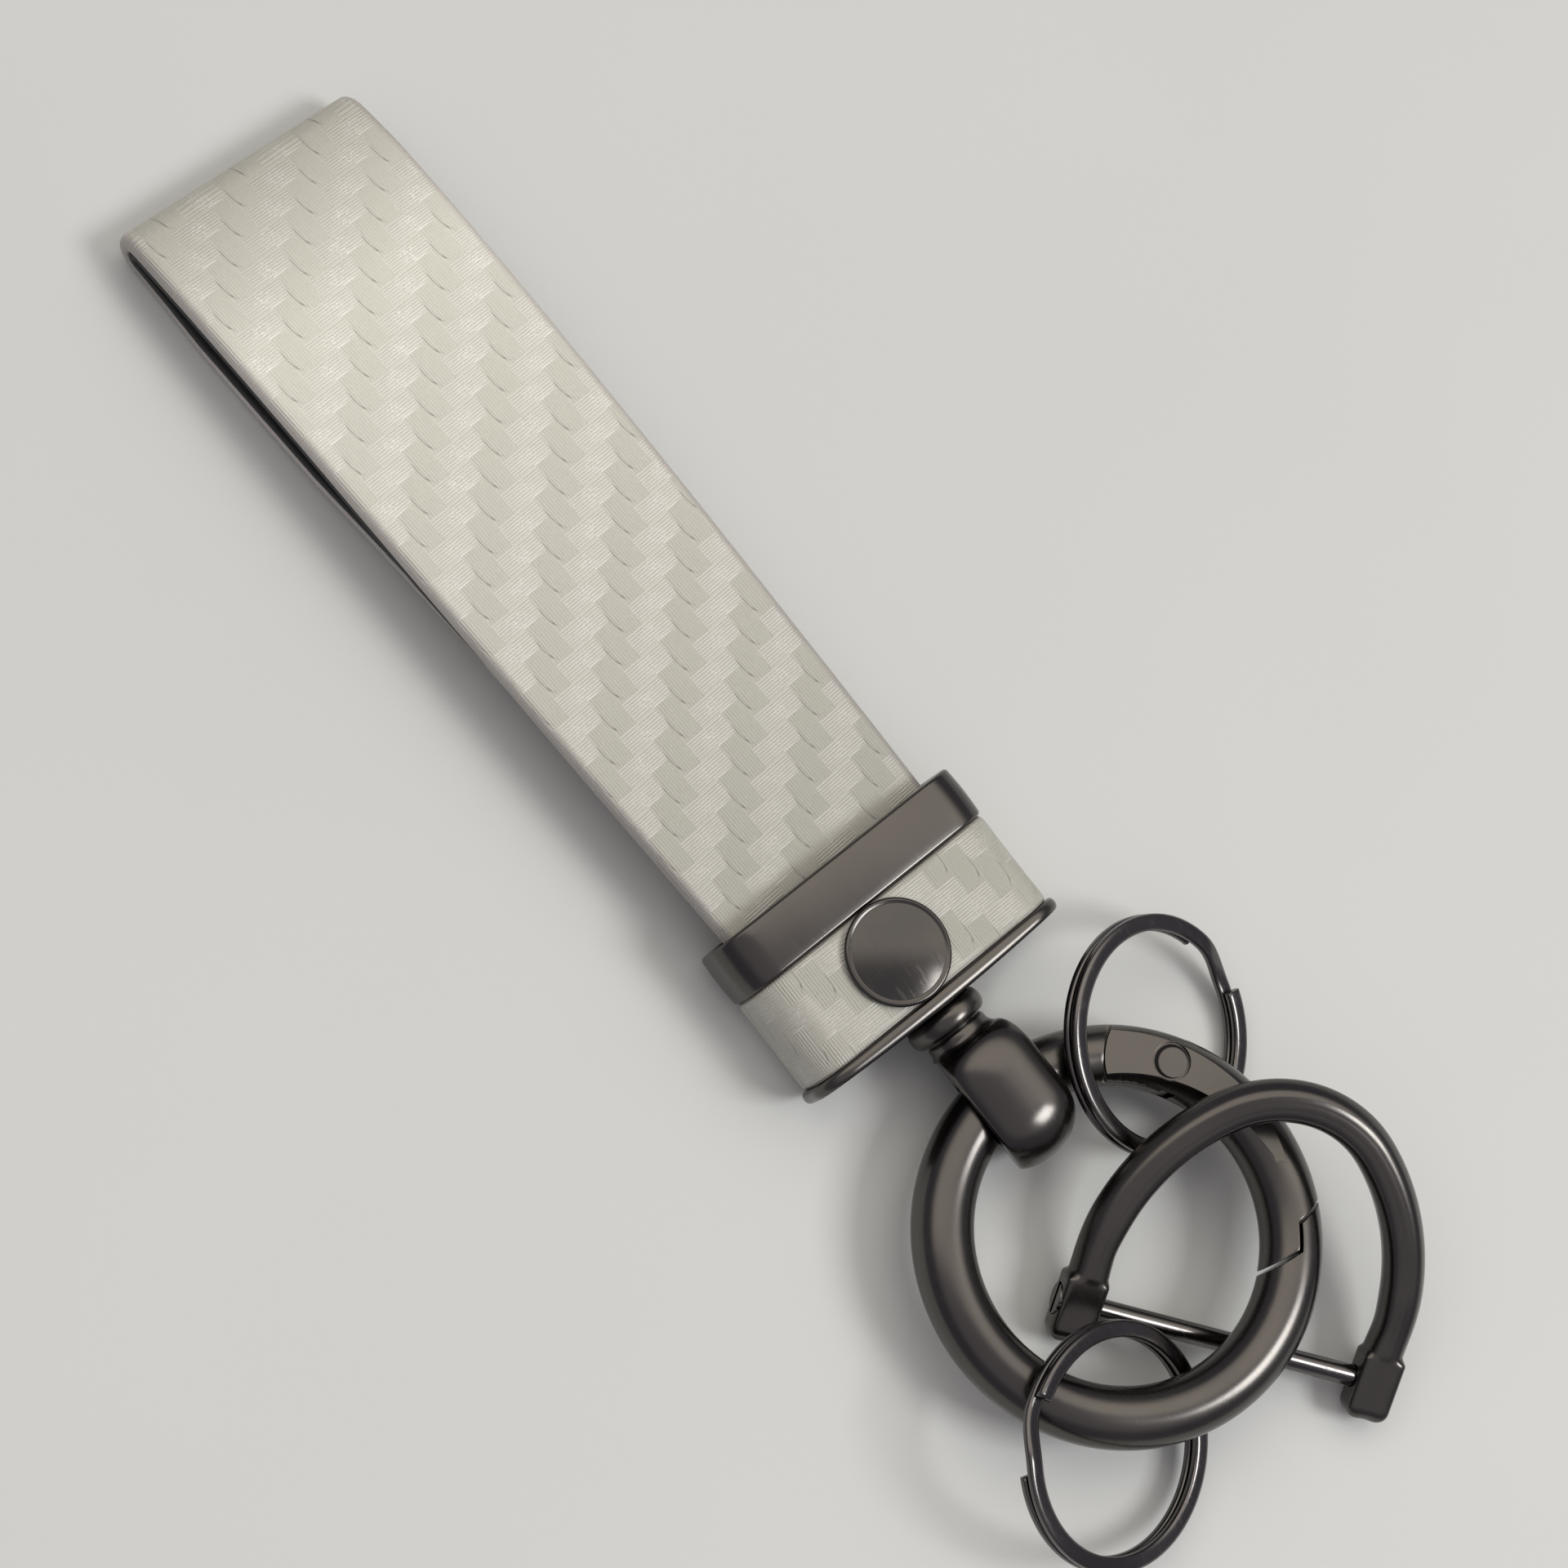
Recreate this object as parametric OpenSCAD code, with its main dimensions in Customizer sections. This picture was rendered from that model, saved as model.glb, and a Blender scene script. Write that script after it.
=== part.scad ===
// Leather loop key fob: a strap folded into a loop, held in a metal fitting, with a swivel that
// carries a spring gate ring. Two split rings and a screw pin shackle hang on that ring.
// Origin: middle of the collar's flat underside. +Y runs along the strap towards its fold, +Z is up.

/* [Strap] */
// Length of the visible loop, from the collar to the outside of the fold
loop_len = 74.1; // [60:0.1:90]
// Width of the strap at the collar
strap_w_collar = 21.2; // [16:0.1:22]
// Width of the strap at the fold
strap_w_fold = 23.1; // [16:0.1:25]
// Thickness of the embossed leather
leather_t = 1.4; // [1:0.1:1.6]
// Thickness of the dark lining
lining_t = 0.8; // [0.5:0.1:1]
// Outside radius of the leather at the fold
fold_r = 2.5; // [2.4:0.1:4.2]
// How far the upper limb arches above the collar's mouth
loop_arch = 2.5; // [1:0.1:4]
// Sideways lean of the strap on its rivet
strap_lean = 1.7; // [0:0.1:3]

/* [Fitting] */
// Width of the collar
fit_w = 25.4; // [24:0.1:30]
// Height of the collar and of the end plate
fit_h = 9.6; // [9.2:0.1:12]
// Corner radius of the fitting's outline
fit_r = 3.2; // [2:0.1:4]
// Length of the collar along the strap
collar_len = 4.7; // [3:0.1:6]
// Length of the leather wrap between the collar and the end plate
wrap_len = 8.8; // [8.8:0.1:12]
// Depth that the wrap lies below the collar and the plate
wrap_inset = 0.2; // [0.1:0.05:0.4]
// Thickness of the end plate
plate_t = 1.4; // [1:0.1:2.5]
// How far the plate stands out past the collar at each side
plate_over = 0.3; // [0:0.05:0.6]
// Thickness of the plate's tongue between the strap's ends
tongue_t = 1.6; // [1:0.1:1.8]
// Width of the plate's tongue
tongue_w = 15; // [12:0.1:17]
// Place of the rivet across the strap, from the fitting's middle
rivet_x = -1.2; // [-2:0.1:2]
// Diameter of the rivet's domed cap
rivet_cap_d = 8.7; // [6:0.1:8.7]
// Height of the rivet's dome
rivet_dome_h = 0.95; // [0.5:0.05:1.5]
// Diameter of the rivet's post
rivet_post_d = 3.2; // [2:0.1:4]
// Diameter of the rivet's flat back
rivet_back_d = 7; // [5:0.1:8]
// Thickness of the rivet's flat back
rivet_back_t = 0.7; // [0.4:0.05:0.8]

/* [Swivel] */
// Distance from the end plate to the middle of the swivel's eye
eye_reach = 8.7; // [8.5:0.1:11]
// Diameter of the wide bead next to the plate
bead_d = 6.6; // [5:0.1:6.8]
// Length of the wide bead
bead_len = 2; // [1.4:0.1:2.2]
// Diameter of the small bead
neck_bead_d = 5.6; // [4.8:0.1:5.8]
// Diameter of the swivel's barrel
barrel_d = 9.5; // [9.3:0.1:9.5]
// Distance across the barrel's two flats
barrel_flats = 6.6; // [6.2:0.1:6.8]
// Wall between the eye and the barrel's round end
barrel_end_wall = 3.2; // [2:0.05:3.6]
// Diameter of the shank that turns in the plate
shank_d = 3; // [2:0.1:3.4]
// Diameter of the washer that holds the shank
washer_d = 5.2; // [4:0.1:5.6]
// Thickness of the washer
washer_t = 0.8; // [0.5:0.1:1]

/* [Gate ring] */
// Radius of the ring at the middle of its wire
ring_r = 14.6; // [13.5:0.1:18]
// Diameter of the ring's wire
ring_wire = 5.1; // [4.6:0.1:5.3]
// Place of the gate's hinge pin round the ring, in degrees from the part's +X
hinge_at = 33; // [28:1:38]
// Angle from the hinge to the gate's heel
heel_span = 22; // [20:1:25]
// Angle from the hinge to the latch's outer face
latch_span = 68; // [60:1:72]
// Extra angle of the latch's inner lip
latch_lip = 9; // [6:1:12]
// Diameter of the gate's hinge pin
gate_pin_d = 2.8; // [2:0.1:3]
// Thickness of the ring's tongue inside the gate
gate_tongue_t = 2; // [1.4:0.1:2.2]
// Half thickness of the gate's flat cheeks at the pin
cheek_z = 2.05; // [1.9:0.05:2.2]
// Outside diameter of the gate's closing spring
spring_d = 1.5; // [1.2:0.1:1.7]
// Length of the spring in its bore
spring_len = 3.4; // [2.5:0.1:4]
// Number of turns in the spring
spring_turns = 5; // [4:1:6]
// Wire of the spring
spring_wire = 0.3; // [0.2:0.05:0.35]

/* [Split rings] */
// Outside diameter of a split ring
split_od = 20; // [19.6:0.1:24]
// Width of the split ring's wire, across the ring
split_wire_w = 1.4; // [1:0.1:1.5]
// Thickness of one turn
split_turn_t = 0.76; // [0.5:0.02:0.8]
// Gap between the two turns
split_gap = 0.12; // [0.1:0.02:0.3]
// Angle over which the wire crosses from one turn to the other
joggle_span = 30; // [20:1:40]
// Places of the two split rings round the gate ring, in degrees from the part's +X
split_at = [37.3, 228];
// Place of each ring's crossover, in degrees from the gate ring's radius
joggle_at = [-30, -94];
// How far each split ring drops outside the gate ring, in degrees
split_drop = [0, 8];
// Distance of a split ring's centre outside the gate ring's wire
split_out = 2.2; // [2:0.1:2.4]
// Space between a split ring and the wire that it hangs on
split_rest = 0.2; // [0.15:0.01:0.4]

/* [Shackle] */
// Inside width of the shackle between its feet
shackle_w = 22.6; // [20:0.1:26]
// Width of the bow's section
bow_w = 3.7; // [3.2:0.1:4]
// Height from the pin to the middle of the bow's top
bow_h = 21; // [20:0.1:24]
// Height from the pin at which the legs start to curve
leg_h = 4; // [3.5:0.1:6]
// Radius of the bow's top
bow_top_r = 10; // [8:0.1:10.5]
// Height of each foot
foot_h = 3.4; // [3:0.1:4]
// How far each foot reaches past the pin
foot_reach = 3.2; // [2.4:0.1:3.2]
// Diameter of the screw pin
pin_d = 1.8; // [1.2:0.1:1.8]
// Diameter of the screw pin's slotted head
pin_head_d = 2.6; // [2:0.1:2.8]
// Thickness of the head, sunk in the left foot
pin_head_t = 1; // [0.6:0.1:1.4]
// Depth of the pin in the right foot
pin_grip = 3.4; // [2:0.1:3.4]
// Height of the pin above the table
pin_z = 2.9; // [2.7:0.1:3.2]
// Place of the pin's middle, in degrees round the gate ring
shackle_at = -78.8; // [-85:0.2:-72]
// Direction of the pin, in degrees from the part's +X
shackle_turn = -52.6; // [-58:0.2:-48]

/* [Clearances] */
// Gap between pieces that turn on each other
run_gap = 0.1; // [0.05:0.01:0.15]
// Radial clearance of the hinge pin and of the shank
pin_fit = 0.05; // [0.02:0.01:0.08]
// Gap between pieces that lie together in the fitting
lay_gap = 0.05; // [0.02:0.01:0.1]
// Gap round the strap inside the collar and the wrap
strap_gap = 0.6; // [0.5:0.05:0.8]
// Width of the groove round the hinge pin
pin_groove = 0.2; // [0.1:0.05:0.3]
// Gap at the gate's heel and latch
gate_gap = 0.35; // [0.15:0.05:0.35]
// Space between the ring and the pieces that hang on it
link_gap = 0.4; // [0.3:0.05:0.6]

/* [Hidden] */
$fn = 64;
// Places along the part
mouth_y = collar_len / 2;
wrap_end_y = -mouth_y - wrap_len;
plate_y = wrap_end_y - plate_t;
eye_y = plate_y - eye_reach;
rivet_y = -mouth_y - wrap_len / 2;
rivet_at = [rivet_x, rivet_y, 0];
axis_z = fit_h / 2;
strap_t = leather_t + lining_t;
// Cavity of the wrap, filled by the tongue between the strap's two ends
cavity_h = tongue_t + 2 * strap_t + 4 * lay_gap;
cavity_w = strap_w_collar + 2 * strap_gap;
wrap_top = fit_h - wrap_inset;
strap_end_y = wrap_end_y + washer_t + 6 * run_gap + washer_d / 2 * sin(strap_lean);
tongue_tip_y = rivet_y + rivet_post_d / 2 + 0.6;
ramp_start_y = -mouth_y - 0.5;
ramp_end_y = tongue_tip_y + 0.5;
washer_y = wrap_end_y + run_gap;
// Swivel, measured from the plate's outer face
neck_start = run_gap + bead_len;
neck_gap = 0.5;
neck_len = 1;
neck_d = neck_bead_d - 0.7;
barrel_start = neck_start + neck_gap + neck_len;
eye_d = 2 * (ring_r - sqrt(pow(ring_r - ring_wire / 2, 2) - pow(barrel_flats / 2, 2)) + run_gap);
barrel_end = eye_reach + eye_d / 2 + barrel_end_wall;
barrel_shoulder_r = 2.2;
barrel_dome_r = 4.4;
// The ring is tipped about the eye so that its far side clears the pin below it
ring_rise = asin((pin_z + pin_d / 2 + link_gap + ring_wire / 2 - axis_z) / (2 * ring_r));
hinge = ring_r * [cos(hinge_at), sin(hinge_at)];
heel_r = 2 * ring_r * sin(heel_span / 2);
latch_out_r = 2 * ring_r * sin(latch_span / 2);
latch_in_r = 2 * ring_r * sin((latch_span + latch_lip) / 2);
tongue_nose_r = sqrt(pow(ring_wire / 2, 2) - pow(gate_tongue_t / 2, 2));
slot_nose_r = tongue_nose_r + gate_gap + pin_fit;
cheek_slope = 2.5;
spring_bore_d = spring_d + 3 * run_gap;
spring_x = -spring_d / 2 - pin_fit;
spring_y = -slot_nose_r - run_gap;
// A split ring leans along the gate ring until the wire passes through it
split_r = (split_od - split_wire_w) / 2;
split_h = split_turn_t + split_gap / 2;
split_bore_r = split_od / 2 - split_wire_w;
split_chord = sqrt(pow(split_bore_r, 2) - pow(split_out + pow(split_bore_r, 2) / (2 * ring_r), 2));
split_tilt = asin((ring_wire / 2 + split_rest) / norm([split_chord, split_h])) + atan2(split_h, split_chord);
split_tilts = [split_tilt, -split_tilt];
split_end_gap = 4;
// Shackle: legs, then a three-centred arch
leg_x = shackle_w / 2 + bow_w / 2;
arch_h = bow_h - leg_h - bow_top_r;
side_r = (leg_x * leg_x + arch_h * arch_h - bow_top_r * bow_top_r) / (2 * (leg_x - bow_top_r));
side_angle = atan2(arch_h, side_r - leg_x);
foot_lap = 0.5;
pin_in = 1.5;
shackle_mid = (ring_r - pin_in) * [cos(shackle_at), sin(shackle_at)];
bow_cross = 17.9;
cross_rise = axis_z + 10 * sin(ring_rise);
shackle_tip = asin((cross_rise + ring_wire / 2 + bow_w / 2 + link_gap - pin_z) / bow_cross);
pin_start = -shackle_w / 2 - bow_w;
pin_tip = shackle_w / 2 + pin_grip;
slot_w = 0.5;
slot_depth = 0.5;
gunmetal = [0.33, 0.31, 0.30];
dark_steel = [0.26, 0.25, 0.25];
pearl_leather = [0.78, 0.76, 0.71];
black = [0.10, 0.10, 0.10];

// Shared shapes

module rounded_rect(w, h, r) {
    square([w - 2 * r, h], center = true);
    square([w, h - 2 * r], center = true);
    for (x = [-1, 1], y = [-1, 1])
        translate([x * (w / 2 - r), y * (h / 2 - r)]) circle(r);
}

// A slab of the fitting between two places along Y, from an outline drawn in X and Z
module fitting_slab(y_from, y_to) {
    translate([0, y_to, axis_z]) rotate([90, 0, 0]) linear_extrude(y_to - y_from) children();
}

module along_y(y) {
    translate([0, y, axis_z]) rotate([90, 0, 0]) children();
}

module wedge(from, to, r) {
    step = (to - from) / 8;
    polygon(concat([[0, 0]], [for (i = [0:8]) r * [cos(from + step * i), sin(from + step * i)]]));
}

// A solid swept round Z: the section's [radius, height] points at each angle, raised by lift(angle)
module coil(radius, first, last, steps, section, lift) {
    n = len(section);
    points = [for (i = [0:steps]) let (a = first + (last - first) * i / steps)
        for (p = section) [(radius + p.x) * cos(a), (radius + p.x) * sin(a), p.y + lift(a)]];
    sides = [for (i = [0:steps - 1], j = [0:n - 1]) let (a = i * n + j, b = i * n + (j + 1) % n)
        each [[a, b, b + n], [a, b + n, a + n]]];
    first_cap = [for (j = [1:n - 2]) [0, j + 1, j]];
    last_cap = [for (j = [1:n - 2]) [steps * n, steps * n + j, steps * n + j + 1]];
    polyhedron(points, concat(sides, first_cap, last_cap));
}

// Strap: one curve where the leather meets the lining, from the upper end round the fold to the lower

function bezier(p, t) =
    pow(1 - t, 3) * p[0] + 3 * t * pow(1 - t, 2) * p[1] + 3 * t * t * (1 - t) * p[2] + pow(t, 3) * p[3];

mouth_lift = lining_t + lay_gap;
tail_lift = mouth_lift + tongue_t / 2;
fold_in_r = fold_r - leather_t;
fold_mid = [mouth_y + loop_len - fold_r, fold_r];
fold_start = 72;
fold_from = fold_mid + fold_in_r * [cos(fold_start), sin(fold_start)];
upper_limb = [[mouth_y, axis_z + mouth_lift], [mouth_y + 24, axis_z + mouth_lift + 0.65],
    fold_from + loop_arch / cos(fold_start) * [-sin(fold_start), cos(fold_start)], fold_from];
lower_limb = [fold_mid - [0, fold_in_r], fold_mid - [14, fold_in_r],
    [mouth_y + 24, axis_z - mouth_lift + 1], [mouth_y, axis_z - mouth_lift]];
limb_steps = 14;
fold_steps = 16;
strap_curve = concat(
    [[strap_end_y, axis_z + tail_lift], [ramp_end_y, axis_z + tail_lift]],
    [[ramp_start_y, axis_z + mouth_lift]],
    [for (i = [0:limb_steps]) bezier(upper_limb, i / limb_steps)],
    [for (i = [1:fold_steps - 1]) let (a = fold_start - (fold_start + 90) * i / fold_steps)
        fold_mid + fold_in_r * [cos(a), sin(a)]],
    [for (i = [0:limb_steps]) bezier(lower_limb, i / limb_steps)],
    [[ramp_start_y, axis_z - mouth_lift]],
    [[ramp_end_y, axis_z - tail_lift], [strap_end_y, axis_z - tail_lift]]);

// Outward normal at each point of a curve that runs clockwise
function curve_normal(c, i) =
    let (d = c[min(i + 1, len(c) - 1)] - c[max(i - 1, 0)]) [-d.y, d.x] / norm(d);

function curve_offset(c, distance) = [for (i = [0:len(c) - 1]) c[i] + distance * curve_normal(c, i)];

function reversed(c) = [for (i = [len(c) - 1:-1:0]) c[i]];

// A layer of the strap between two distances from the curve, cut to the strap's tapered width
module strap_layer(inside, outside) {
    outer_side = curve_offset(strap_curve, outside);
    inner_side = curve_offset(strap_curve, inside);
    translate(rivet_at) rotate([0, 0, strap_lean]) translate(-rivet_at)
        difference() {
            intersection() {
                translate([-fit_w / 2, 0, 0]) rotate([90, 0, 90]) linear_extrude(fit_w)
                    polygon(concat(outer_side, reversed(inner_side)));
                translate([0, 0, -1]) linear_extrude(fit_h + loop_arch + fold_r)
                    polygon([[-strap_w_collar / 2, strap_end_y - 1], [strap_w_collar / 2, strap_end_y - 1],
                        [strap_w_collar / 2, mouth_y], [strap_w_fold / 2, mouth_y + loop_len + 1],
                        [-strap_w_fold / 2, mouth_y + loop_len + 1], [-strap_w_collar / 2, mouth_y]]);
            }
            rivet_bore(2 * lay_gap);
        }
}

module rivet_bore(extra) {
    translate([rivet_x, rivet_y, -1]) cylinder(d = rivet_post_d + extra, h = fit_h + 4);
}

module strap_shell() {
    color(pearl_leather) strap_layer(0, leather_t);
}

module strap_lining() {
    color(black) strap_layer(-lining_t, 0);
}

module wrap_band() {
    color(pearl_leather) difference() {
        fitting_slab(wrap_end_y, -mouth_y) difference() {
            rounded_rect(fit_w - 2 * wrap_inset, fit_h - 2 * wrap_inset, fit_r - wrap_inset);
            square([cavity_w, cavity_h], center = true);
        }
        rivet_bore(2 * lay_gap);
        translate([rivet_x, rivet_y, -1])
            cylinder(d = rivet_back_d + 2 * lay_gap, h = 1 + wrap_inset + rivet_back_t + lay_gap);
    }
}

module collar() {
    color(gunmetal) fitting_slab(-mouth_y, mouth_y) difference() {
        rounded_rect(fit_w, fit_h, fit_r);
        square([cavity_w, 2 * strap_t + 8 * lay_gap], center = true);
    }
}

module end_plate() {
    color(gunmetal) difference() {
        union() {
            fitting_slab(plate_y, wrap_end_y) rounded_rect(fit_w + 2 * plate_over, fit_h, fit_r);
            fitting_slab(wrap_end_y, tongue_tip_y - lay_gap) square([tongue_w, tongue_t], center = true);
        }
        along_y(wrap_end_y + 1) cylinder(d = shank_d + 2 * pin_fit, h = plate_t + 2);
        fitting_slab(wrap_end_y, strap_end_y) square([washer_d + 4 * run_gap, fit_h], center = true);
        rivet_bore(2 * lay_gap);
    }
}

// Rivet: a domed cap on a post, closed by a flat back let into the wrap

module rivet_front() {
    dome_r = (rivet_cap_d * rivet_cap_d / 4 + rivet_dome_h * rivet_dome_h) / (2 * rivet_dome_h);
    rim_t = 0.35;
    color(dark_steel) translate([rivet_x, rivet_y, wrap_top + lay_gap]) {
        cylinder(d = rivet_cap_d, h = rim_t);
        intersection() {
            translate([0, 0, rim_t + rivet_dome_h - dome_r]) sphere(dome_r);
            cylinder(d = rivet_cap_d, h = rim_t + rivet_dome_h + 1);
        }
        translate([0, 0, wrap_inset + rivet_back_t / 2 - wrap_top - lay_gap])
            cylinder(d = rivet_post_d, h = wrap_top + lay_gap - wrap_inset - rivet_back_t / 2);
    }
}

module rivet_back() {
    color(dark_steel) translate([rivet_x, rivet_y, wrap_inset]) difference() {
        cylinder(d = rivet_back_d, h = rivet_back_t);
        translate([0, 0, rivet_back_t / 2]) cylinder(d = rivet_post_d, h = rivet_back_t);
    }
}

// Swivel: beads, neck and barrel turned in one piece, with two flats and a cross eye

module swivel_profile() {
    bead_r = bead_len / 2;
    neck_r = neck_len / 2;
    shank_len = plate_t + washer_t + 3 * run_gap;
    translate([0, -shank_len]) square([shank_d / 2, shank_len + neck_start]);
    translate([0, run_gap]) square([bead_d / 2 - bead_r, bead_len]);
    translate([bead_d / 2 - bead_r, run_gap + bead_r]) circle(bead_r);
    translate([0, neck_start - neck_gap]) square([neck_d / 2, neck_len + 3 * neck_gap]);
    translate([neck_bead_d / 2 - neck_r, neck_start + neck_gap + neck_r]) circle(neck_r);
    translate([0, barrel_start]) square([barrel_d / 2 - barrel_shoulder_r, barrel_shoulder_r + 1]);
    translate([barrel_d / 2 - barrel_shoulder_r, barrel_start + barrel_shoulder_r])
        circle(barrel_shoulder_r);
    translate([0, barrel_start + barrel_shoulder_r])
        square([barrel_d / 2, barrel_end - barrel_dome_r - barrel_start - barrel_shoulder_r]);
    translate([0, barrel_end - barrel_dome_r - 1])
        square([barrel_d / 2 - barrel_dome_r, barrel_dome_r + 1]);
    translate([barrel_d / 2 - barrel_dome_r, barrel_end - barrel_dome_r]) circle(barrel_dome_r);
}

module swivel_head() {
    color(gunmetal) difference() {
        intersection() {
            along_y(plate_y) rotate_extrude() intersection() {
                swivel_profile();
                translate([0, -fit_w]) square([fit_w, 2 * fit_w + barrel_end]);
            }
            translate([-barrel_flats / 2, eye_y - fit_w, -fit_h])
                cube([barrel_flats, 3 * fit_w, 3 * fit_h]);
        }
        translate([0, eye_y, axis_z]) rotate([0, 90, 0])
            cylinder(d = eye_d, h = 2 * barrel_d, center = true);
    }
}

module swivel_washer() {
    color(dark_steel) along_y(washer_y + washer_t) difference() {
        cylinder(d = washer_d, h = washer_t);
        translate([0, 0, -1]) cylinder(d = shank_d, h = washer_t + 2);
    }
}

// Gate ring

module ring_frame() {
    translate([0, eye_y, axis_z]) rotate([-ring_rise, 0, 0]) translate([0, -ring_r, 0]) children();
}

module ring_wire_round() {
    rotate_extrude($fn = 128) translate([ring_r, 0]) circle(d = ring_wire);
}

module at_hinge() {
    rotate([0, 0, hinge_at]) translate([ring_r, 0, 0]) children();
}

// Outline of the gate seen along its hinge pin, larger all round by a gap
module gate_outline(gap) {
    far = 2 * ring_r;
    intersection() {
        wedge(hinge_at - latch_span - latch_lip - 25, hinge_at, far);
        union() {
            translate(hinge) circle(latch_out_r + gap);
            intersection() {
                translate(hinge) circle(latch_in_r + gap);
                circle(ring_r - gate_gap / 2 + gap);
            }
        }
    }
    intersection() {
        wedge(hinge_at - 1, hinge_at + heel_span + 20, far);
        translate(hinge) circle(heel_r + gap);
    }
}

// The ring's tongue, and the slot that takes it: a round nose at the hinge, open towards the heel
module tongue_outline(nose_r) {
    translate(hinge) circle(nose_r);
    wedge(hinge_at, hinge_at + heel_span + 20, 2 * ring_r);
}

module thick(t) {
    translate([0, 0, -t / 2]) linear_extrude(t) children();
}

module ring_body() {
    color(gunmetal) ring_frame() difference() {
        ring_wire_round();
        for (side = [0, 1]) mirror([0, 0, side]) translate([0, 0, gate_tongue_t / 2])
            linear_extrude(ring_wire) gate_outline(gate_gap);
        thick(gate_tongue_t + run_gap) difference() {
            gate_outline(gate_gap);
            tongue_outline(tongue_nose_r);
        }
        at_hinge() cylinder(d = gate_pin_d + 2 * pin_fit, h = 2 * ring_wire, center = true);
    }
}

module gate() {
    color(gunmetal) ring_frame() difference() {
        intersection() {
            ring_wire_round();
            thick(2 * ring_wire) gate_outline(0);
        }
        thick(gate_tongue_t + 2 * run_gap) tongue_outline(slot_nose_r);
        at_hinge() {
            cylinder(d = gate_pin_d, h = 2 * ring_wire, center = true);
            for (side = [0, 1]) mirror([0, 0, side]) translate([0, 0, cheek_z - pin_groove])
                cylinder(d = gate_pin_d + 2 * pin_groove, h = ring_wire);
            for (side = [0, 180]) rotate([0, side, 0]) rotate([-cheek_slope * cos(side), 0, 0])
                translate([-ring_wire, -ring_r, cheek_z]) cube([2 * ring_wire, 2 * ring_r, ring_wire]);
            translate([spring_x, spring_y, 0]) rotate([90, 0, 0])
                cylinder(d = spring_bore_d, h = spring_len + 2 * run_gap);
        }
    }
}

module gate_pin() {
    color(dark_steel) ring_frame() at_hinge() cylinder(d = gate_pin_d, h = 2 * cheek_z, center = true);
}

module gate_spring() {
    r = (spring_d - spring_wire) / 2;
    section = [for (k = [0:5]) spring_wire / 2 * [cos(60 * k), sin(60 * k)]];
    rise = (spring_len - spring_wire) / (360 * spring_turns);
    lift = function (a) spring_wire / 2 + rise * a;
    color(dark_steel) ring_frame() at_hinge()
        translate([spring_x, spring_y - run_gap, 0]) rotate([90, 0, 0])
            coil(r, 0, 360 * spring_turns, 10 * spring_turns, section, lift);
}

// Split rings: two turns of flat wire, joined by a crossover, with both wire ends beside it

module split_ring(place) {
    w = split_wire_w / 2;
    t = split_turn_t / 2;
    section = [[w, -t / 2], [w, t / 2], [w - t, t], [t - w, t],
        [-w, t / 2], [-w, -t / 2], [t - w, -t], [w - t, -t]];
    half_pitch = (split_turn_t + split_gap) / 2;
    half_span = joggle_span / 2;
    last = 360 - half_span - split_end_gap;
    lift = function (a) half_pitch * sin(90 * max(-1, min(1, a / half_span)));
    ring_frame() rotate([0, 0, split_at[place]]) translate([ring_r, 0, 0]) rotate([0, split_drop[place], 0])
        translate([split_out, 0, 0]) rotate([split_tilts[place], 0, 0]) rotate([0, 0, joggle_at[place]])
            coil(split_r, -last, last, 96, section, lift);
}

module split_ring_a() {
    color(dark_steel) split_ring(0);
}

module split_ring_b() {
    color(dark_steel) split_ring(1);
}

// Shackle: a bow with flat feet, closed by a slotted screw pin

module shackle_frame() {
    ring_mid = [0, eye_y - ring_r * cos(ring_rise), 0];
    translate([shackle_mid.x, ring_mid.y + shackle_mid.y, pin_z])
        rotate([0, 0, shackle_turn]) rotate([shackle_tip, 0, 0]) children();
}

// Section of the bow: flat inside, with a ridge between the top face and the bevelled outside
module bow_section(inset) {
    w = bow_w / 2 - inset;
    polygon([[w, 0.25 * w], [0.55 * w, 0.95 * w], [-0.6 * w, w], [-0.92 * w, 0.6 * w], [-w, 0],
        [-0.92 * w, -0.6 * w], [-0.6 * w, -w], [0.55 * w, -0.95 * w], [w, -0.25 * w]]);
}

module bow_arc(mid, radius, from, to, inset) {
    translate(mid) rotate([0, 0, from]) rotate_extrude(angle = to - from, $fn = 96)
        translate([radius, 0]) bow_section(inset);
}

module shackle_foot(side) {
    inner = shackle_w / 2;
    end_r = foot_h / 2;
    translate([side > 0 ? inner : -inner - bow_w, 0, 0]) rotate([0, 90, 0]) linear_extrude(bow_w) {
        translate([0, end_r - foot_reach]) circle(end_r);
        translate([-end_r, end_r - foot_reach]) square([foot_h, leg_h + foot_lap - end_r + foot_reach]);
    }
}

module shackle_bow() {
    color(gunmetal) shackle_frame() difference() {
        union() {
            bow_arc([0, leg_h + arch_h, 0], bow_top_r, side_angle - 2, 182 - side_angle, 0.02);
            bow_arc([leg_x - side_r, leg_h, 0], side_r, 0, side_angle, 0);
            bow_arc([side_r - leg_x, leg_h, 0], side_r, 180 - side_angle, 180, 0);
            for (side = [-1, 1]) shackle_foot(side);
        }
        translate([pin_start - 1, 0, 0]) rotate([0, 90, 0]) {
            cylinder(d = pin_d + 2 * pin_fit, h = 1 + pin_tip - pin_start + run_gap);
            cylinder(d = pin_head_d + 2 * pin_fit, h = 1 + pin_head_t + run_gap);
        }
    }
}

module shackle_pin() {
    color(dark_steel) shackle_frame() difference() {
        translate([pin_start, 0, 0]) rotate([0, 90, 0]) {
            cylinder(d = pin_d, h = pin_tip - pin_start);
            cylinder(d = pin_head_d, h = pin_head_t);
        }
        translate([pin_start - 1, -pin_head_d, -slot_w / 2]) cube([1 + slot_depth, 2 * pin_head_d, slot_w]);
    }
}

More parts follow.
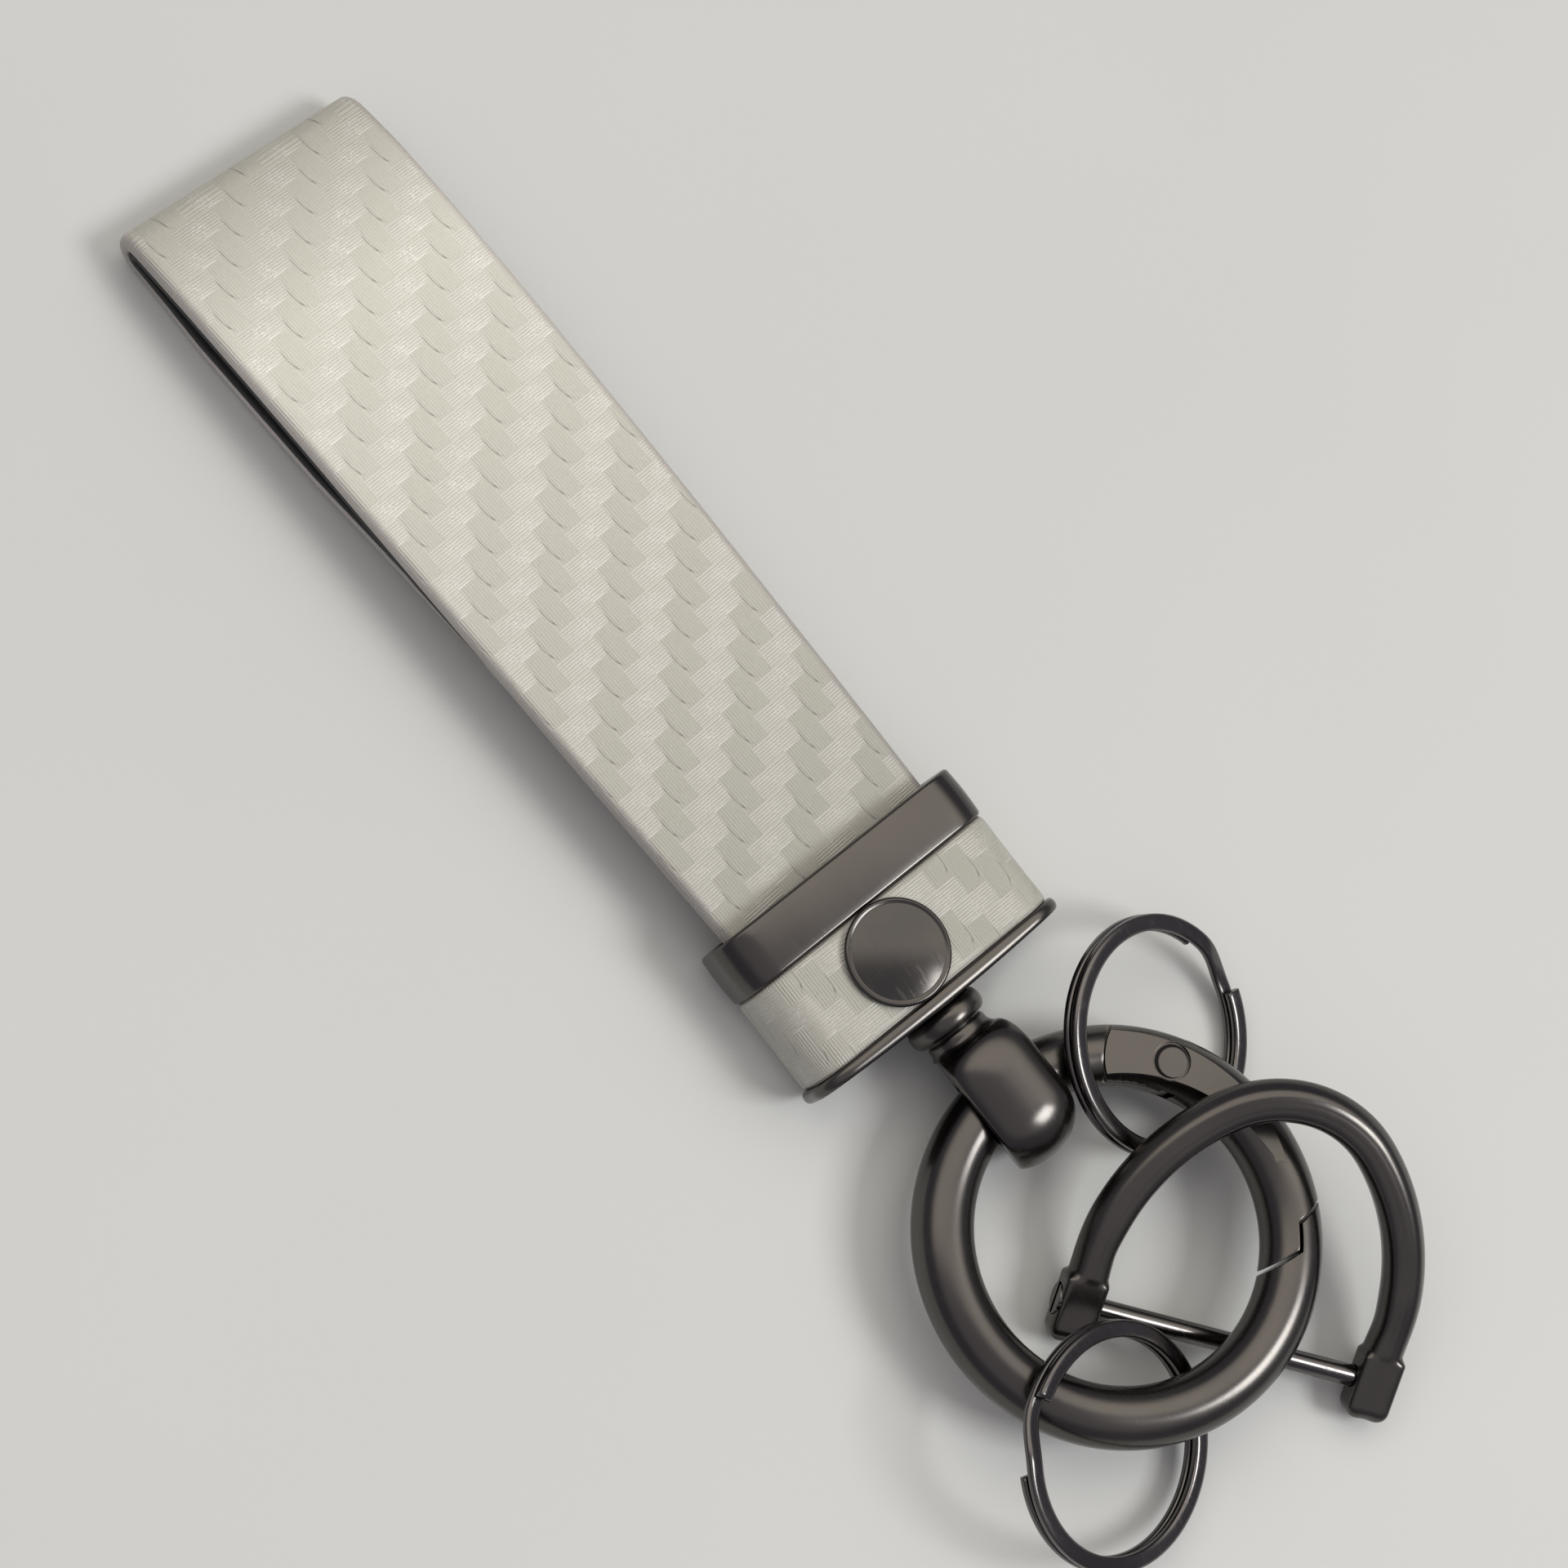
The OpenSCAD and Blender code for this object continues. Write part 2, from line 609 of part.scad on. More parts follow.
strap_shell();
strap_lining();
wrap_band();
collar();
end_plate();
rivet_front();
rivet_back();
swivel_head();
swivel_washer();
ring_body();
gate();
gate_pin();
gate_spring();
split_ring_a();
split_ring_b();
shackle_bow();
shackle_pin();
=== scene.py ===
# %% [markdown]
# # A leather loop key fob
# The fob is a strap of embossed leather, folded into a loop and riveted into a metal fitting. A swivel
# carries a spring gate ring, and two split rings and a screw pin shackle hang on that ring. The sizes,
# the joints and the plain solids come from the CAD frame. Here each piece gets its real surface.

import math

import bmesh
import bpy
import numpy as np
from mathutils import Matrix, Vector


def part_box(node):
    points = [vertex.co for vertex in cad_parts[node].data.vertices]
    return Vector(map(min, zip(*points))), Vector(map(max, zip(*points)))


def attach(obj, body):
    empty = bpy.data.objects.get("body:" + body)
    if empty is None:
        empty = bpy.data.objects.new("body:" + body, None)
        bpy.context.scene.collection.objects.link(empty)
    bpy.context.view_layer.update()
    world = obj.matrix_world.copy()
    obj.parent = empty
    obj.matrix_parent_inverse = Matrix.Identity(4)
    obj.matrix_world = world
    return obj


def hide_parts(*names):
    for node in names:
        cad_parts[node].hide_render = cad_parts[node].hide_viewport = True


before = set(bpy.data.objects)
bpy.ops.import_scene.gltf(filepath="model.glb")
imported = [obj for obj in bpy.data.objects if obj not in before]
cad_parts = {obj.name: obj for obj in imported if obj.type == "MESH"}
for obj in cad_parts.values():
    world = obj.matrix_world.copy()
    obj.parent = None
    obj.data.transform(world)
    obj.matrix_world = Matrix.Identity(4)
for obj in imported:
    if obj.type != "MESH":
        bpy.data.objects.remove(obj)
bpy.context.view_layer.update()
MM = 0.001

# %% [markdown]
# ## The camera
# The photograph looks almost straight down, leaning 18 degrees to the strap's left, and the strap runs
# from the upper left to the lower right. A camera could be aimed with a tracking constraint. Here its
# three axes are worked out, so that the roll is exact too.

# %% Camera
lean = math.radians(18)
roll = math.radians(38)
across_strap = Vector((math.cos(lean), 0, math.sin(lean)))
along_strap = Vector((0, 1, 0))
picture_right = math.cos(roll) * across_strap - math.sin(roll) * along_strap
picture_up = math.sin(roll) * across_strap + math.cos(roll) * along_strap
to_camera = picture_right.cross(picture_up)
aim = Vector((1.45, 9.35, 5)) * MM
distance = 297 * MM

camera_data = bpy.data.cameras.new("camera")
camera_data.sensor_width = 36
camera_data.lens = 84.375
camera = bpy.data.objects.new("camera", camera_data)
camera.matrix_world = Matrix((picture_right, picture_up, to_camera)).transposed().to_4x4()
camera.location = aim + distance * to_camera
bpy.context.scene.collection.objects.link(camera)
bpy.context.scene.camera = camera
print("camera stands", round(camera.location.z / MM), "mm above the table")

# %% [markdown]
# ## Table and light
# The fob lies on a pale table. One soft lamp stands to the right of the picture, so the shadows fall softly to
# the left. Dark metal shows its surroundings more than its own colour, so the sky matters as much as the lamp:
# a dim plum room with a warm bright ceiling on one side, past a dark wall. A picture of a
# room could light the metal too, but a formula keeps the scene plain and free of outside files.

# %% Node helpers
def put(tree, kind, inputs=None, **settings):
    """Adds a node. inputs holds numbers, colours or sockets, by the input's name or place."""
    node = tree.nodes.new(kind)
    for name, value in settings.items():
        setattr(node, name, value)
    for key, value in (inputs or {}).items():
        if isinstance(value, bpy.types.NodeSocket):
            tree.links.new(value, node.inputs[key])
        else:
            node.inputs[key].default_value = value
    return node


def calc(tree, operation, *values):
    """A Math node's result."""
    return put(tree, "ShaderNodeMath", dict(enumerate(values)), operation=operation).outputs[0]


def product(tree, first, second):
    """Two values multiplied."""
    return calc(tree, "MULTIPLY", first, second)


def blend_colours(tree, share, first, second):
    """Two colours mixed by a share that varies over the surface."""
    inputs = {0: share, 6: first, 7: second}
    return put(tree, "ShaderNodeMix", inputs, data_type="RGBA").outputs[2]


def speckle(tree, where, scale, detail=2.0, roughness=0.5):
    """Noise between 0 and 1."""
    inputs = {"Vector": where, "Scale": scale, "Detail": detail, "Roughness": roughness}
    return put(tree, "ShaderNodeTexNoise", inputs).outputs["Fac"]


def spread(tree, value, low, high, out_low=0.0, out_high=1.0):
    """A value between low and high, stretched over another range."""
    inputs = {0: value, 1: low, 2: high, 3: out_low, 4: out_high}
    return put(tree, "ShaderNodeMapRange", inputs).outputs[0]


def new_finish(name):
    """A new material with its node tree and its shader."""
    material = bpy.data.materials.new(name)
    material.use_nodes = True
    return material, material.node_tree, material.node_tree.nodes["Principled BSDF"]


def object_place(tree):
    """Where a point lies on the piece, in metres."""
    return put(tree, "ShaderNodeTexCoord").outputs["Object"]


# %% Table
table_finish, tree, shader = new_finish("table")
place = object_place(tree)
worn = speckle(tree, place, 9, 4)
grain = speckle(tree, place, 900, 2)
tone = blend_colours(tree, spread(tree, worn, 0.3, 0.7), (0.622, 0.640, 0.620, 1), (0.650, 0.668, 0.648, 1))
tree.links.new(tone, shader.inputs["Base Color"])
shader.inputs["Roughness"].default_value = 0.6
shader.inputs["Specular IOR Level"].default_value = 0.25
bump = put(tree, "ShaderNodeBump", {"Height": grain, "Strength": 0.15, "Distance": 0.0001})
tree.links.new(bump.outputs[0], shader.inputs["Normal"])

table_mesh = bpy.data.meshes.new("table")
half_table = 6.0
corners = [(-half_table, -half_table, 0), (half_table, -half_table, 0),
           (half_table, half_table, 0), (-half_table, half_table, 0)]
table_mesh.from_pydata(corners, [], [(0, 1, 2, 3)])
table_mesh.materials.append(table_finish)
table = bpy.data.objects.new("table", table_mesh)
bpy.context.scene.collection.objects.link(table)
print("table at height 0")

# %% Sky and lamp
bpy.context.scene.view_settings.view_transform = "Standard"
world = bpy.data.worlds.new("studio")
world.use_nodes = True
bpy.context.scene.world = world
tree = world.node_tree
sky = tree.nodes["Background"]
place = put(tree, "ShaderNodeTexCoord").outputs["Generated"]
bright_side = Vector((0.596, 0.803, 0.0))
across = put(tree, "ShaderNodeVectorMath", {0: place, 1: bright_side}, operation="DOT_PRODUCT").outputs["Value"]
height = put(tree, "ShaderNodeSeparateXYZ", {0: place}).outputs["Z"]
smooth = {"interpolation_type": "SMOOTHSTEP"}
past_wall = put(tree, "ShaderNodeMapRange", {0: across, 1: 0.0, 2: 0.20}, **smooth).outputs[0]
overhead = put(tree, "ShaderNodeMapRange", {0: height, 1: 0.45, 2: 0.78}, **smooth).outputs[0]
ceiling = product(tree, past_wall, overhead)
room = blend_colours(tree, overhead, (0.215, 0.205, 0.240, 1), (0.500, 0.470, 0.500, 1))
tone = blend_colours(tree, ceiling, room, (1.58, 1.48, 1.36, 1))
tree.links.new(tone, sky.inputs["Color"])
sky.inputs["Strength"].default_value = 1.0

lamp_data = bpy.data.lights.new("softbox", "AREA")
lamp_data.shape = "RECTANGLE"
lamp_data.size = lamp_data.size_y = 0.5
lamp_data.energy = 9.0
lamp_far, lamp_way = 1.45, Vector((0.36, -0.52, 0.775)).normalized()
lamp = bpy.data.objects.new("softbox", lamp_data)
lamp.location = aim + lamp_far * lamp_way
lamp.rotation_euler = (aim - lamp.location).to_track_quat("-Z", "Y").to_euler()
bpy.context.scene.collection.objects.link(lamp)
print("sky and softbox are set")

# %% [markdown]
# ## The strap's path
# The real strap is one band: leather outside, lining inside, folded over and pushed into the fitting. The
# line where the two layers meet is drawn once, in millimetres, and both layers follow it. It uses the same
# sizes as the CAD solids.

# %% Path of the strap
mouth_y, rivet_x, rivet_y, axis_z = 2.35, -1.2, -6.75, 4.8
leather_t, lining_t = 1.4, 0.8
strap_w_collar, strap_w_fold, loop_end_y = 21.2, 23.1, 77.45
strap_lean = math.radians(1.7)
fold_skew = 0.055
fold_mid, fold_in_r, fold_start = np.array((73.95, 2.5)), 1.1, math.radians(72)
pull_y, upper_pull_z, lower_pull_z = 26.35, 6.3, 4.0
upper_fold_pull, lower_fold_pull = 2.5, 14
upper_mouth_z, lower_mouth_z, upper_tail_z, lower_tail_z = 5.65, 3.95, 6.45, 3.15
tail_end_y, tail_bend_y, tail_mouth_y = -9.64, -4.05, -2.85


def bezier(points, count):
    """Points on a smooth curve from the first of four points to the last."""
    t = np.linspace(0, 1, count)[:, None]
    a, b, c, d = (np.array(p, float) for p in points)
    return (1 - t) ** 3 * a + 3 * t * (1 - t) ** 2 * b + 3 * t * t * (1 - t) * c + t ** 3 * d


fold_from = fold_mid + fold_in_r * np.array((math.cos(fold_start), math.sin(fold_start)))
into_fold = upper_fold_pull / math.cos(fold_start) * np.array((-math.sin(fold_start), math.cos(fold_start)))
upper_limb = bezier([(mouth_y, upper_mouth_z), (pull_y, upper_pull_z), fold_from + into_fold, fold_from], 200)
turn = np.linspace(fold_start, -math.pi / 2, 60)
fold = fold_mid + fold_in_r * np.stack((np.cos(turn), np.sin(turn)), 1)
lower_limb = bezier([fold_mid - (0, fold_in_r), fold_mid - (lower_fold_pull, fold_in_r),
                     (pull_y, lower_pull_z), (mouth_y, lower_mouth_z)], 200)
upper_tail = np.array([(tail_end_y, upper_tail_z), (tail_bend_y, upper_tail_z), (tail_mouth_y, upper_mouth_z)])
lower_tail = np.array([(tail_mouth_y, lower_mouth_z), (tail_bend_y, lower_tail_z), (tail_end_y, lower_tail_z)])
strap_line = np.concatenate((upper_tail, upper_limb, fold[1:-1], lower_limb, lower_tail))


def walk(line, step):
    """The line's points at even steps, with the distance of each from the line's start."""
    length = np.concatenate(([0], np.cumsum(np.linalg.norm(np.diff(line, axis=0), axis=1))))
    count = int(round(length[-1] / step)) + 1
    at = np.linspace(0, length[-1], count)
    return np.stack([np.interp(at, length, line[:, k]) for k in (0, 1)], 1), at


strap_points, strap_at = walk(strap_line, 0.22)
path_way = np.gradient(strap_points, axis=0)
path_way /= np.linalg.norm(path_way, axis=1)[:, None]
strap_out = np.stack((-path_way[:, 1], path_way[:, 0]), 1)
mouth_at = strap_at[np.argmax(strap_points[:, 0] > mouth_y)]
turn_at = strap_at[np.argmax(strap_points[:, 0])]
print("strap is", round(strap_at[-1], 1), "mm long,", len(strap_points), "steps")

# %% [markdown]
# ## The embossed weave
# A hot roller pressed a twill pattern into the leather: floats two cells long, half of them along the strap
# and half across it, each row one cell further. A picture could fake it, but the relief is real, so the
# pillows are lifted in the mesh. Only the hair-fine lines on each float are left to the material.

# %% Weave pattern
CELL_ALONG, CELL_ACROSS = 1.90, 1.94
weave_turn, weave_from_y, weave_from_x = math.radians(1.47), 9.20, 1.30


def weave_place(along, across):
    """Cells along and across the strap, from millimetres. The leather was cut a little off the pattern."""
    turned = np.cos(weave_turn) * along - np.sin(weave_turn) * across
    crossed = np.cos(weave_turn) * across + np.sin(weave_turn) * along
    return (turned - weave_from_y) / CELL_ALONG, (crossed - weave_from_x) / CELL_ACROSS


def weave_height(u, v):
    """The relief of the pattern, from 0 in the creases to 1 on top of the floats."""
    row, column = np.floor(u), np.floor(v)
    part_u, part_v = u - row, v - column
    step = np.mod(row - column + 2, 4)
    lengthwise = step < 2
    s = np.where(lengthwise, part_u + step, part_v + 3 - step)
    t = np.where(lengthwise, part_v, part_u)
    long_way, wide_way = np.abs(s - 1), np.abs(2 * t - 1)
    pillow = np.clip(1 - long_way ** 4, 0, 1) ** 0.7 * np.clip(1 - wide_way ** 3, 0, 1) ** 0.7
    leaf = np.clip(1.15 - (long_way ** 2.2 + wide_way ** 2.2), 0, 1) ** 0.5
    return np.where(lengthwise, leaf, 0.85 * pillow)


print("one repeat is", 4 * CELL_ALONG, "by", 4 * CELL_ACROSS, "mm")

# %% Mesh helpers
def lofted(name, rings, loop=False, uv=None, edge=None):
    """A mesh through rings of points in millimetres. Every ring is closed and has as many points."""
    count, size = rings.shape[:2]
    faces = []
    for i in range(count if loop else count - 1):
        a, b = i * size, (i + 1) % count * size
        for j in range(size):
            k = (j + 1) % size
            faces.append((a + j, a + k, b + k, b + j))
    if not loop:
        faces.append(tuple(range(size)))
        faces.append(tuple((count - 1) * size + j for j in range(size)))
    mesh = bpy.data.meshes.new(name)
    mesh.from_pydata((rings.reshape(-1, 3) * MM).tolist(), [], faces)
    shape = bmesh.new()
    shape.from_mesh(mesh)
    bmesh.ops.recalc_face_normals(shape, faces=shape.faces)
    shape.to_mesh(mesh)
    shape.free()
    mesh.shade_smooth()
    if uv is not None:
        corner = np.zeros(len(mesh.loops), np.int32)
        mesh.loops.foreach_get("vertex_index", corner)
        mesh.uv_layers.new(name="weave").data.foreach_set("uv", uv.reshape(-1, 2)[corner].ravel())
    if edge is not None:
        near = mesh.attributes.new("edge", "FLOAT", "POINT")
        near.data.foreach_set("value", edge.ravel().astype(np.float32))
    return mesh


def add_piece(mesh, finish, body, node):
    """Puts a mesh in the scene with its finish, on the body that carries it, in place of a CAD node."""
    piece = bpy.data.objects.new(mesh.name, mesh)
    bpy.context.scene.collection.objects.link(piece)
    mesh.materials.append(finish)
    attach(piece, body)
    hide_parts(node)
    print(piece.name, len(mesh.vertices), "points, on", body)
    return piece


def strap_section(half, bottom, top, round_top, round_bottom, columns):
    """A band's cross section as (across, out) points: up the left edge, over the top, down the right."""
    low = [(0.0, 0.0), (0.3, 0.04), (0.7, 0.3), (1.0, 1.0)]
    left = [(-half + round_bottom * (1 - x), bottom + round_bottom * y) for x, y in low]
    angles = np.linspace(math.pi, math.pi / 2, 7)
    left += [(-half + round_top + round_top * math.cos(a), top - round_top + round_top * math.sin(a))
             for a in angles]
    flat = np.linspace(-half + round_top, half - round_top, columns)[1:-1]
    right = [(-x, y) for x, y in reversed(left)]
    return np.array(left + [(x, top) for x in flat] + right)


def limb_shape(y, under):
    """Half the strap's width and its sideways shift, on the upper limb (under = 0) or the lower one (1)."""
    share = np.clip((y - mouth_y) / (loop_end_y - mouth_y), 0, 1)
    half = (strap_w_collar + (strap_w_fold - strap_w_collar) * share) / 2
    upper_half, lower_half = half + 0.25 * math.sin(math.pi * share), half - 0.2
    upper_shift = np.interp(y, (20, 56), (-0.2, 0.0))
    lower_shift = np.interp(y, (2, 24, 36, 44, 52, 66, 70, 76),
                            (0.5, 0.55, 0.3, 0.05, -0.3, -0.35, -0.2, 0.0))
    half = upper_half + (lower_half - upper_half) * under
    return half, upper_shift + (lower_shift - upper_shift) * under


turn_length = 12
inset_from_y, inset_to_y = 24, 40
skew_from_y, skew_length = 40, 32


def strap_rings(bottom, top, inset, round_top, round_bottom, columns, relief=0.0):
    """Rings of a layer of the strap, with the weave's cells and the nearness to an edge for each point."""
    rings, cells, edges = [], [], []
    for point, out, at in zip(strap_points, strap_out, strap_at):
        half, shift = limb_shape(point[0], np.clip((at - turn_at) / turn_length + 0.5, 0, 1))
        half -= np.interp(point[0], (inset_from_y, inset_to_y), inset)
        section = strap_section(half, bottom, top, round_top, round_bottom, columns)
        reach = np.concatenate(([0], np.cumsum(np.linalg.norm(np.diff(section, axis=0), axis=1))))
        reach -= reach[-1] / 2
        u, v = weave_place(at - mouth_at + mouth_y, reach + shift)
        to_edge = half - np.abs(section[:, 0])
        fade = np.clip((to_edge - 0.35) / 0.5, 0, 1)
        upper = section[:, 1] > top - 0.5
        n = section[:, 1] - relief * np.where(upper, (1 - weave_height(u, v)) * fade, 0)
        skew = fold_skew * np.clip((point[0] - skew_from_y) / skew_length, 0, 1) ** 2
        x = section[:, 0] + shift - rivet_x
        y = point[0] + out[0] * n - skew * x - rivet_y
        z = point[1] + out[1] * n
        rings.append(np.stack((np.cos(strap_lean) * x - np.sin(strap_lean) * y + rivet_x,
                               np.sin(strap_lean) * x + np.cos(strap_lean) * y + rivet_y, z), 1))
        cells.append(np.stack((u, v), 1))
        edges.append(np.clip((0.85 - to_edge) / 0.6, 0, 1))
    return np.array(rings), np.array(cells), np.array(edges)


# %% [markdown]
# ## Pearl leather
# The leather is coated in a pale pearl colour with a satin gloss. Floats that run across the strap look a
# little lighter than those along it, and each float carries fine parallel lines. Painted light is added on top:
# painted shade in a crease along one side of the lengthwise floats, painted highlight as pale specks on the
# crosswise floats and as a bright line on their lips, and a painted sheen that makes the upper half of the
# strap brightest, with painted shade towards the fold and the collar. The material works out which float a
# point is on from its cell.

# %% Pearl leather finish
LINES_PER_FLOAT = 7.5


def pearl_leather_finish(name):
    material, tree, shader = new_finish(name)
    cells = put(tree, "ShaderNodeUVMap", uv_map="weave").outputs[0]
    parts = put(tree, "ShaderNodeSeparateXYZ", {0: cells})
    u, v = parts.outputs["X"], parts.outputs["Y"]
    row, column = calc(tree, "FLOOR", u), calc(tree, "FLOOR", v)
    part_u, part_v = calc(tree, "FRACT", u), calc(tree, "FRACT", v)
    gap = calc(tree, "ADD", calc(tree, "SUBTRACT", row, column), 2.0)
    step = calc(tree, "FLOORED_MODULO", gap, 4.0)
    crosswise = calc(tree, "GREATER_THAN", step, 1.5)
    s_long = calc(tree, "ADD", part_u, step)
    s_cross = calc(tree, "ADD", part_v, calc(tree, "SUBTRACT", 3.0, step))
    pick = {"data_type": "FLOAT"}
    s = put(tree, "ShaderNodeMix", {0: crosswise, 2: s_long, 3: s_cross}, **pick).outputs[0]
    t = put(tree, "ShaderNodeMix", {0: crosswise, 2: part_v, 3: part_u}, **pick).outputs[0]

    # A lengthwise float is a rounded leaf, with a thin crease along its left side that is darkened by painted
    # shade
    off_s, off_t = calc(tree, "SUBTRACT", s, 1.0), calc(tree, "SUBTRACT", t, 0.5)
    long_way = calc(tree, "POWER", calc(tree, "ABSOLUTE", off_s), 2.2)
    wide_way = calc(tree, "POWER", product(tree, calc(tree, "ABSOLUTE", off_t), 2.0), 2.2)
    from_middle = calc(tree, "ADD", long_way, wide_way)
    lengthwise = calc(tree, "SUBTRACT", 1.0, crosswise)
    leaf = product(tree, spread(tree, from_middle, 0.85, 1.05, 1.0, 0.0), lengthwise)
    from_side = calc(tree, "ABSOLUTE", calc(tree, "SUBTRACT", from_middle, 0.97))
    near_side = spread(tree, from_side, 0.03, 0.17, 1.0, 0.0)
    left_side = product(tree, spread(tree, t, 0.32, 0.5, 1.0, 0.0), lengthwise)
    window = product(tree, spread(tree, s, 0.1, 0.4), spread(tree, s, 1.1, 1.5, 1.0, 0.0))
    shaded_crease = product(tree, product(tree, near_side, window), left_side)
    # Painted highlight: a bright line on the lip of a crosswise float where a lengthwise one dips under it
    lip_cell = calc(tree, "COMPARE", step, 2.0, 0.2)
    lip_side = product(tree, spread(tree, part_u, 0.02, 0.10, 1.0, 0.0),
                       spread(tree, part_v, 0.5, 0.75, 1.0, 0.0))
    lip_highlight = product(tree, lip_side, lip_cell)
    # Fine lines along each float, and pale specks painted on top of the crosswise ones as a highlight
    lines = calc(tree, "SINE", product(tree, t, 2 * math.pi * LINES_PER_FLOAT))
    place = object_place(tree)
    blotches = speckle(tree, place, 160, 3)
    sparkle = speckle(tree, place, 6500, 2)
    grain = speckle(tree, place, 2600, 3)
    off_top = calc(tree, "ADD", product(tree, off_s, off_s), product(tree, off_t, off_t))
    on_top = product(tree, spread(tree, off_top, 0.02, 0.30, 1.0, 0.0), crosswise)
    highlight_specks = product(tree, on_top, spread(tree, sparkle, 0.50, 0.60))

    tone = blend_colours(tree, leaf, (0.520, 0.514, 0.440, 1), (0.510, 0.504, 0.430, 1))
    # Painted highlight: pale specks on the tops of the crosswise floats
    tone = blend_colours(tree, product(tree, highlight_specks, 0.6), tone, (0.740, 0.730, 0.670, 1))
    tone = blend_colours(tree, spread(tree, blotches, 0.3, 0.7, 0.0, 0.25), tone, (0.515, 0.508, 0.452, 1))
    # Painted shade: the crease along the lengthwise floats is darkened
    tone = blend_colours(tree, product(tree, shaded_crease, 0.8), tone, (0.240, 0.225, 0.190, 1))
    # Painted highlight on the lips of the crosswise floats
    tone = blend_colours(tree, product(tree, lip_highlight, 0.75), tone, (0.740, 0.726, 0.670, 1))
    # The edge value turns the tone taupe: a darker band along the strap's long edges, and painted shade at the
    # wrap's ends where they tuck under the collar and the plate
    edge = put(tree, "ShaderNodeAttribute", attribute_name="edge").outputs["Fac"]
    tone = blend_colours(tree, edge, tone, (0.400, 0.378, 0.345, 1))
    # Painted light: the tone is scaled brighter over the upper half of the strap as a painted sheen, and darker
    # near the collar and at the fold as painted shade
    along = put(tree, "ShaderNodeSeparateXYZ", {0: place}).outputs["Y"]
    painted_sheen_and_shade = product(tree, spread(tree, along, 0.006, 0.060, 0.79, 1.36),
                    spread(tree, along, 0.062, 0.074, 1.0, 0.68))
    bright = calc(tree, "ADD", spread(tree, sparkle, 0.3, 0.7, 0.95, 1.05), product(tree, lines, 0.045))
    bright = product(tree, bright, painted_sheen_and_shade)
    tone = put(tree, "ShaderNodeVectorMath", {0: tone, 3: bright}, operation="SCALE").outputs[0]
    tree.links.new(tone, shader.inputs["Base Color"])
    rough = spread(tree, sparkle, 0.3, 0.7, 0.36, 0.50)
    tree.links.new(rough, shader.inputs["Roughness"])
    shader.inputs["Specular IOR Level"].default_value = 1.0
    pores = calc(tree, "ADD", sparkle, product(tree, grain, 1.5))
    fine = calc(tree, "ADD", product(tree, lines, 0.9), pores)
    bump = put(tree, "ShaderNodeBump", {"Height": fine, "Strength": 0.6, "Distance": 0.00003})
    dent = put(tree, "ShaderNodeBump", {"Height": shaded_crease, "Strength": 0.6, "Distance": 0.00005,
                                        "Normal": bump.outputs[0]}, invert=True)
    tree.links.new(dent.outputs[0], shader.inputs["Normal"])
    return material


pearl_leather = pearl_leather_finish("pearl_leather")
print(len(pearl_leather.node_tree.nodes), "nodes in the leather")

# %% Leather of the strap
rings, cells, edges = strap_rings(0.0, leather_t, (0.0, 0.0), 0.8, 0.3, 96, relief=0.045)
strap_mesh = lofted("leather_strap", rings, uv=cells, edge=edges)
strap = add_piece(strap_mesh, pearl_leather, "fitting", "strap_shell")

# %% [markdown]
# ## Black lining
# The inside of the loop is lined with thin black leather, set in a little from the edges. It shows as a dark
# line under the strap's edge. It could be a second colour on the strap, but it is a layer of its own on the
# real one, so it follows the same path, inside the leather.

# %% Black lining
def black_lining_finish(name):
    material, tree, shader = new_finish(name)
    place = object_place(tree)
    grain = put(tree, "ShaderNodeTexVoronoi", {"Vector": place, "Scale": 2200}).outputs["Distance"]
    worn = speckle(tree, place, 300, 3)
    black, faded = (0.010, 0.010, 0.011, 1), (0.022, 0.021, 0.022, 1)
    tone = blend_colours(tree, spread(tree, worn, 0.3, 0.75), black, faded)
    tree.links.new(tone, shader.inputs["Base Color"])
    tree.links.new(spread(tree, worn, 0.3, 0.7, 0.55, 0.7), shader.inputs["Roughness"])
    bump = put(tree, "ShaderNodeBump", {"Height": grain, "Strength": 0.5, "Distance": 0.00005})
    tree.links.new(bump.outputs[0], shader.inputs["Normal"])
    return material


black_lining = black_lining_finish("black_lining")
rings, cells, _ = strap_rings(-lining_t, -0.01, (0.4, 0.05), 0.2, 0.2, 12)
lining_mesh = lofted("strap_lining_layer", rings, uv=cells)
lining = add_piece(lining_mesh, black_lining, "fitting", "strap_lining")

# %% [markdown]
# ## The wrap
# A short band of the same leather covers the fitting between the collar and the end plate. It could be bent
# from a flat strip, but it shows no seam, so it is lofted as a closed sleeve from rounded outlines, a little
# fuller in the middle than at its ends.

# %% Leather wrap
fit_w, fit_h, fit_r = 25.4, 9.6, 3.2
fit_crown, crown_reach = 0.3, 9.5
wrap_from, wrap_to, wrap_inset = -11.15, -mouth_y, 0.2
hollow_w, hollow_h, hollow_r = 22.4, 6.2, 0.4
wrap_soft, wrap_relief = 0.25, 0.05


def rounded_outline(w, h, r, per_corner, spacing):
    """Points round a rounded rectangle in X and Z, anticlockwise from the bottom right corner."""
    points = []
    corners = [(1, -1, -90), (1, 1, 0), (-1, 1, 90), (-1, -1, 180)]
    for i, (sx, sz, first) in enumerate(corners):
        mid = np.array((sx * (w / 2 - r), sz * (h / 2 - r)))
        for a in np.radians(np.linspace(first, first + 90, per_corner)):
            points.append(mid + r * np.array((math.cos(a), math.sin(a))))
        side = h if i % 2 == 0 else w
        nx, nz, turn = corners[(i + 1) % 4]
        a = math.radians(turn)
        goal = np.array((nx * (w / 2 - r), nz * (h / 2 - r))) + r * np.array((math.cos(a), math.sin(a)))
        count = max(1, int(round((side - 2 * r) / spacing)))
        start = points[-1]
        points += [start + (goal - start) * k / count for k in range(1, count)]
    return np.array(points)


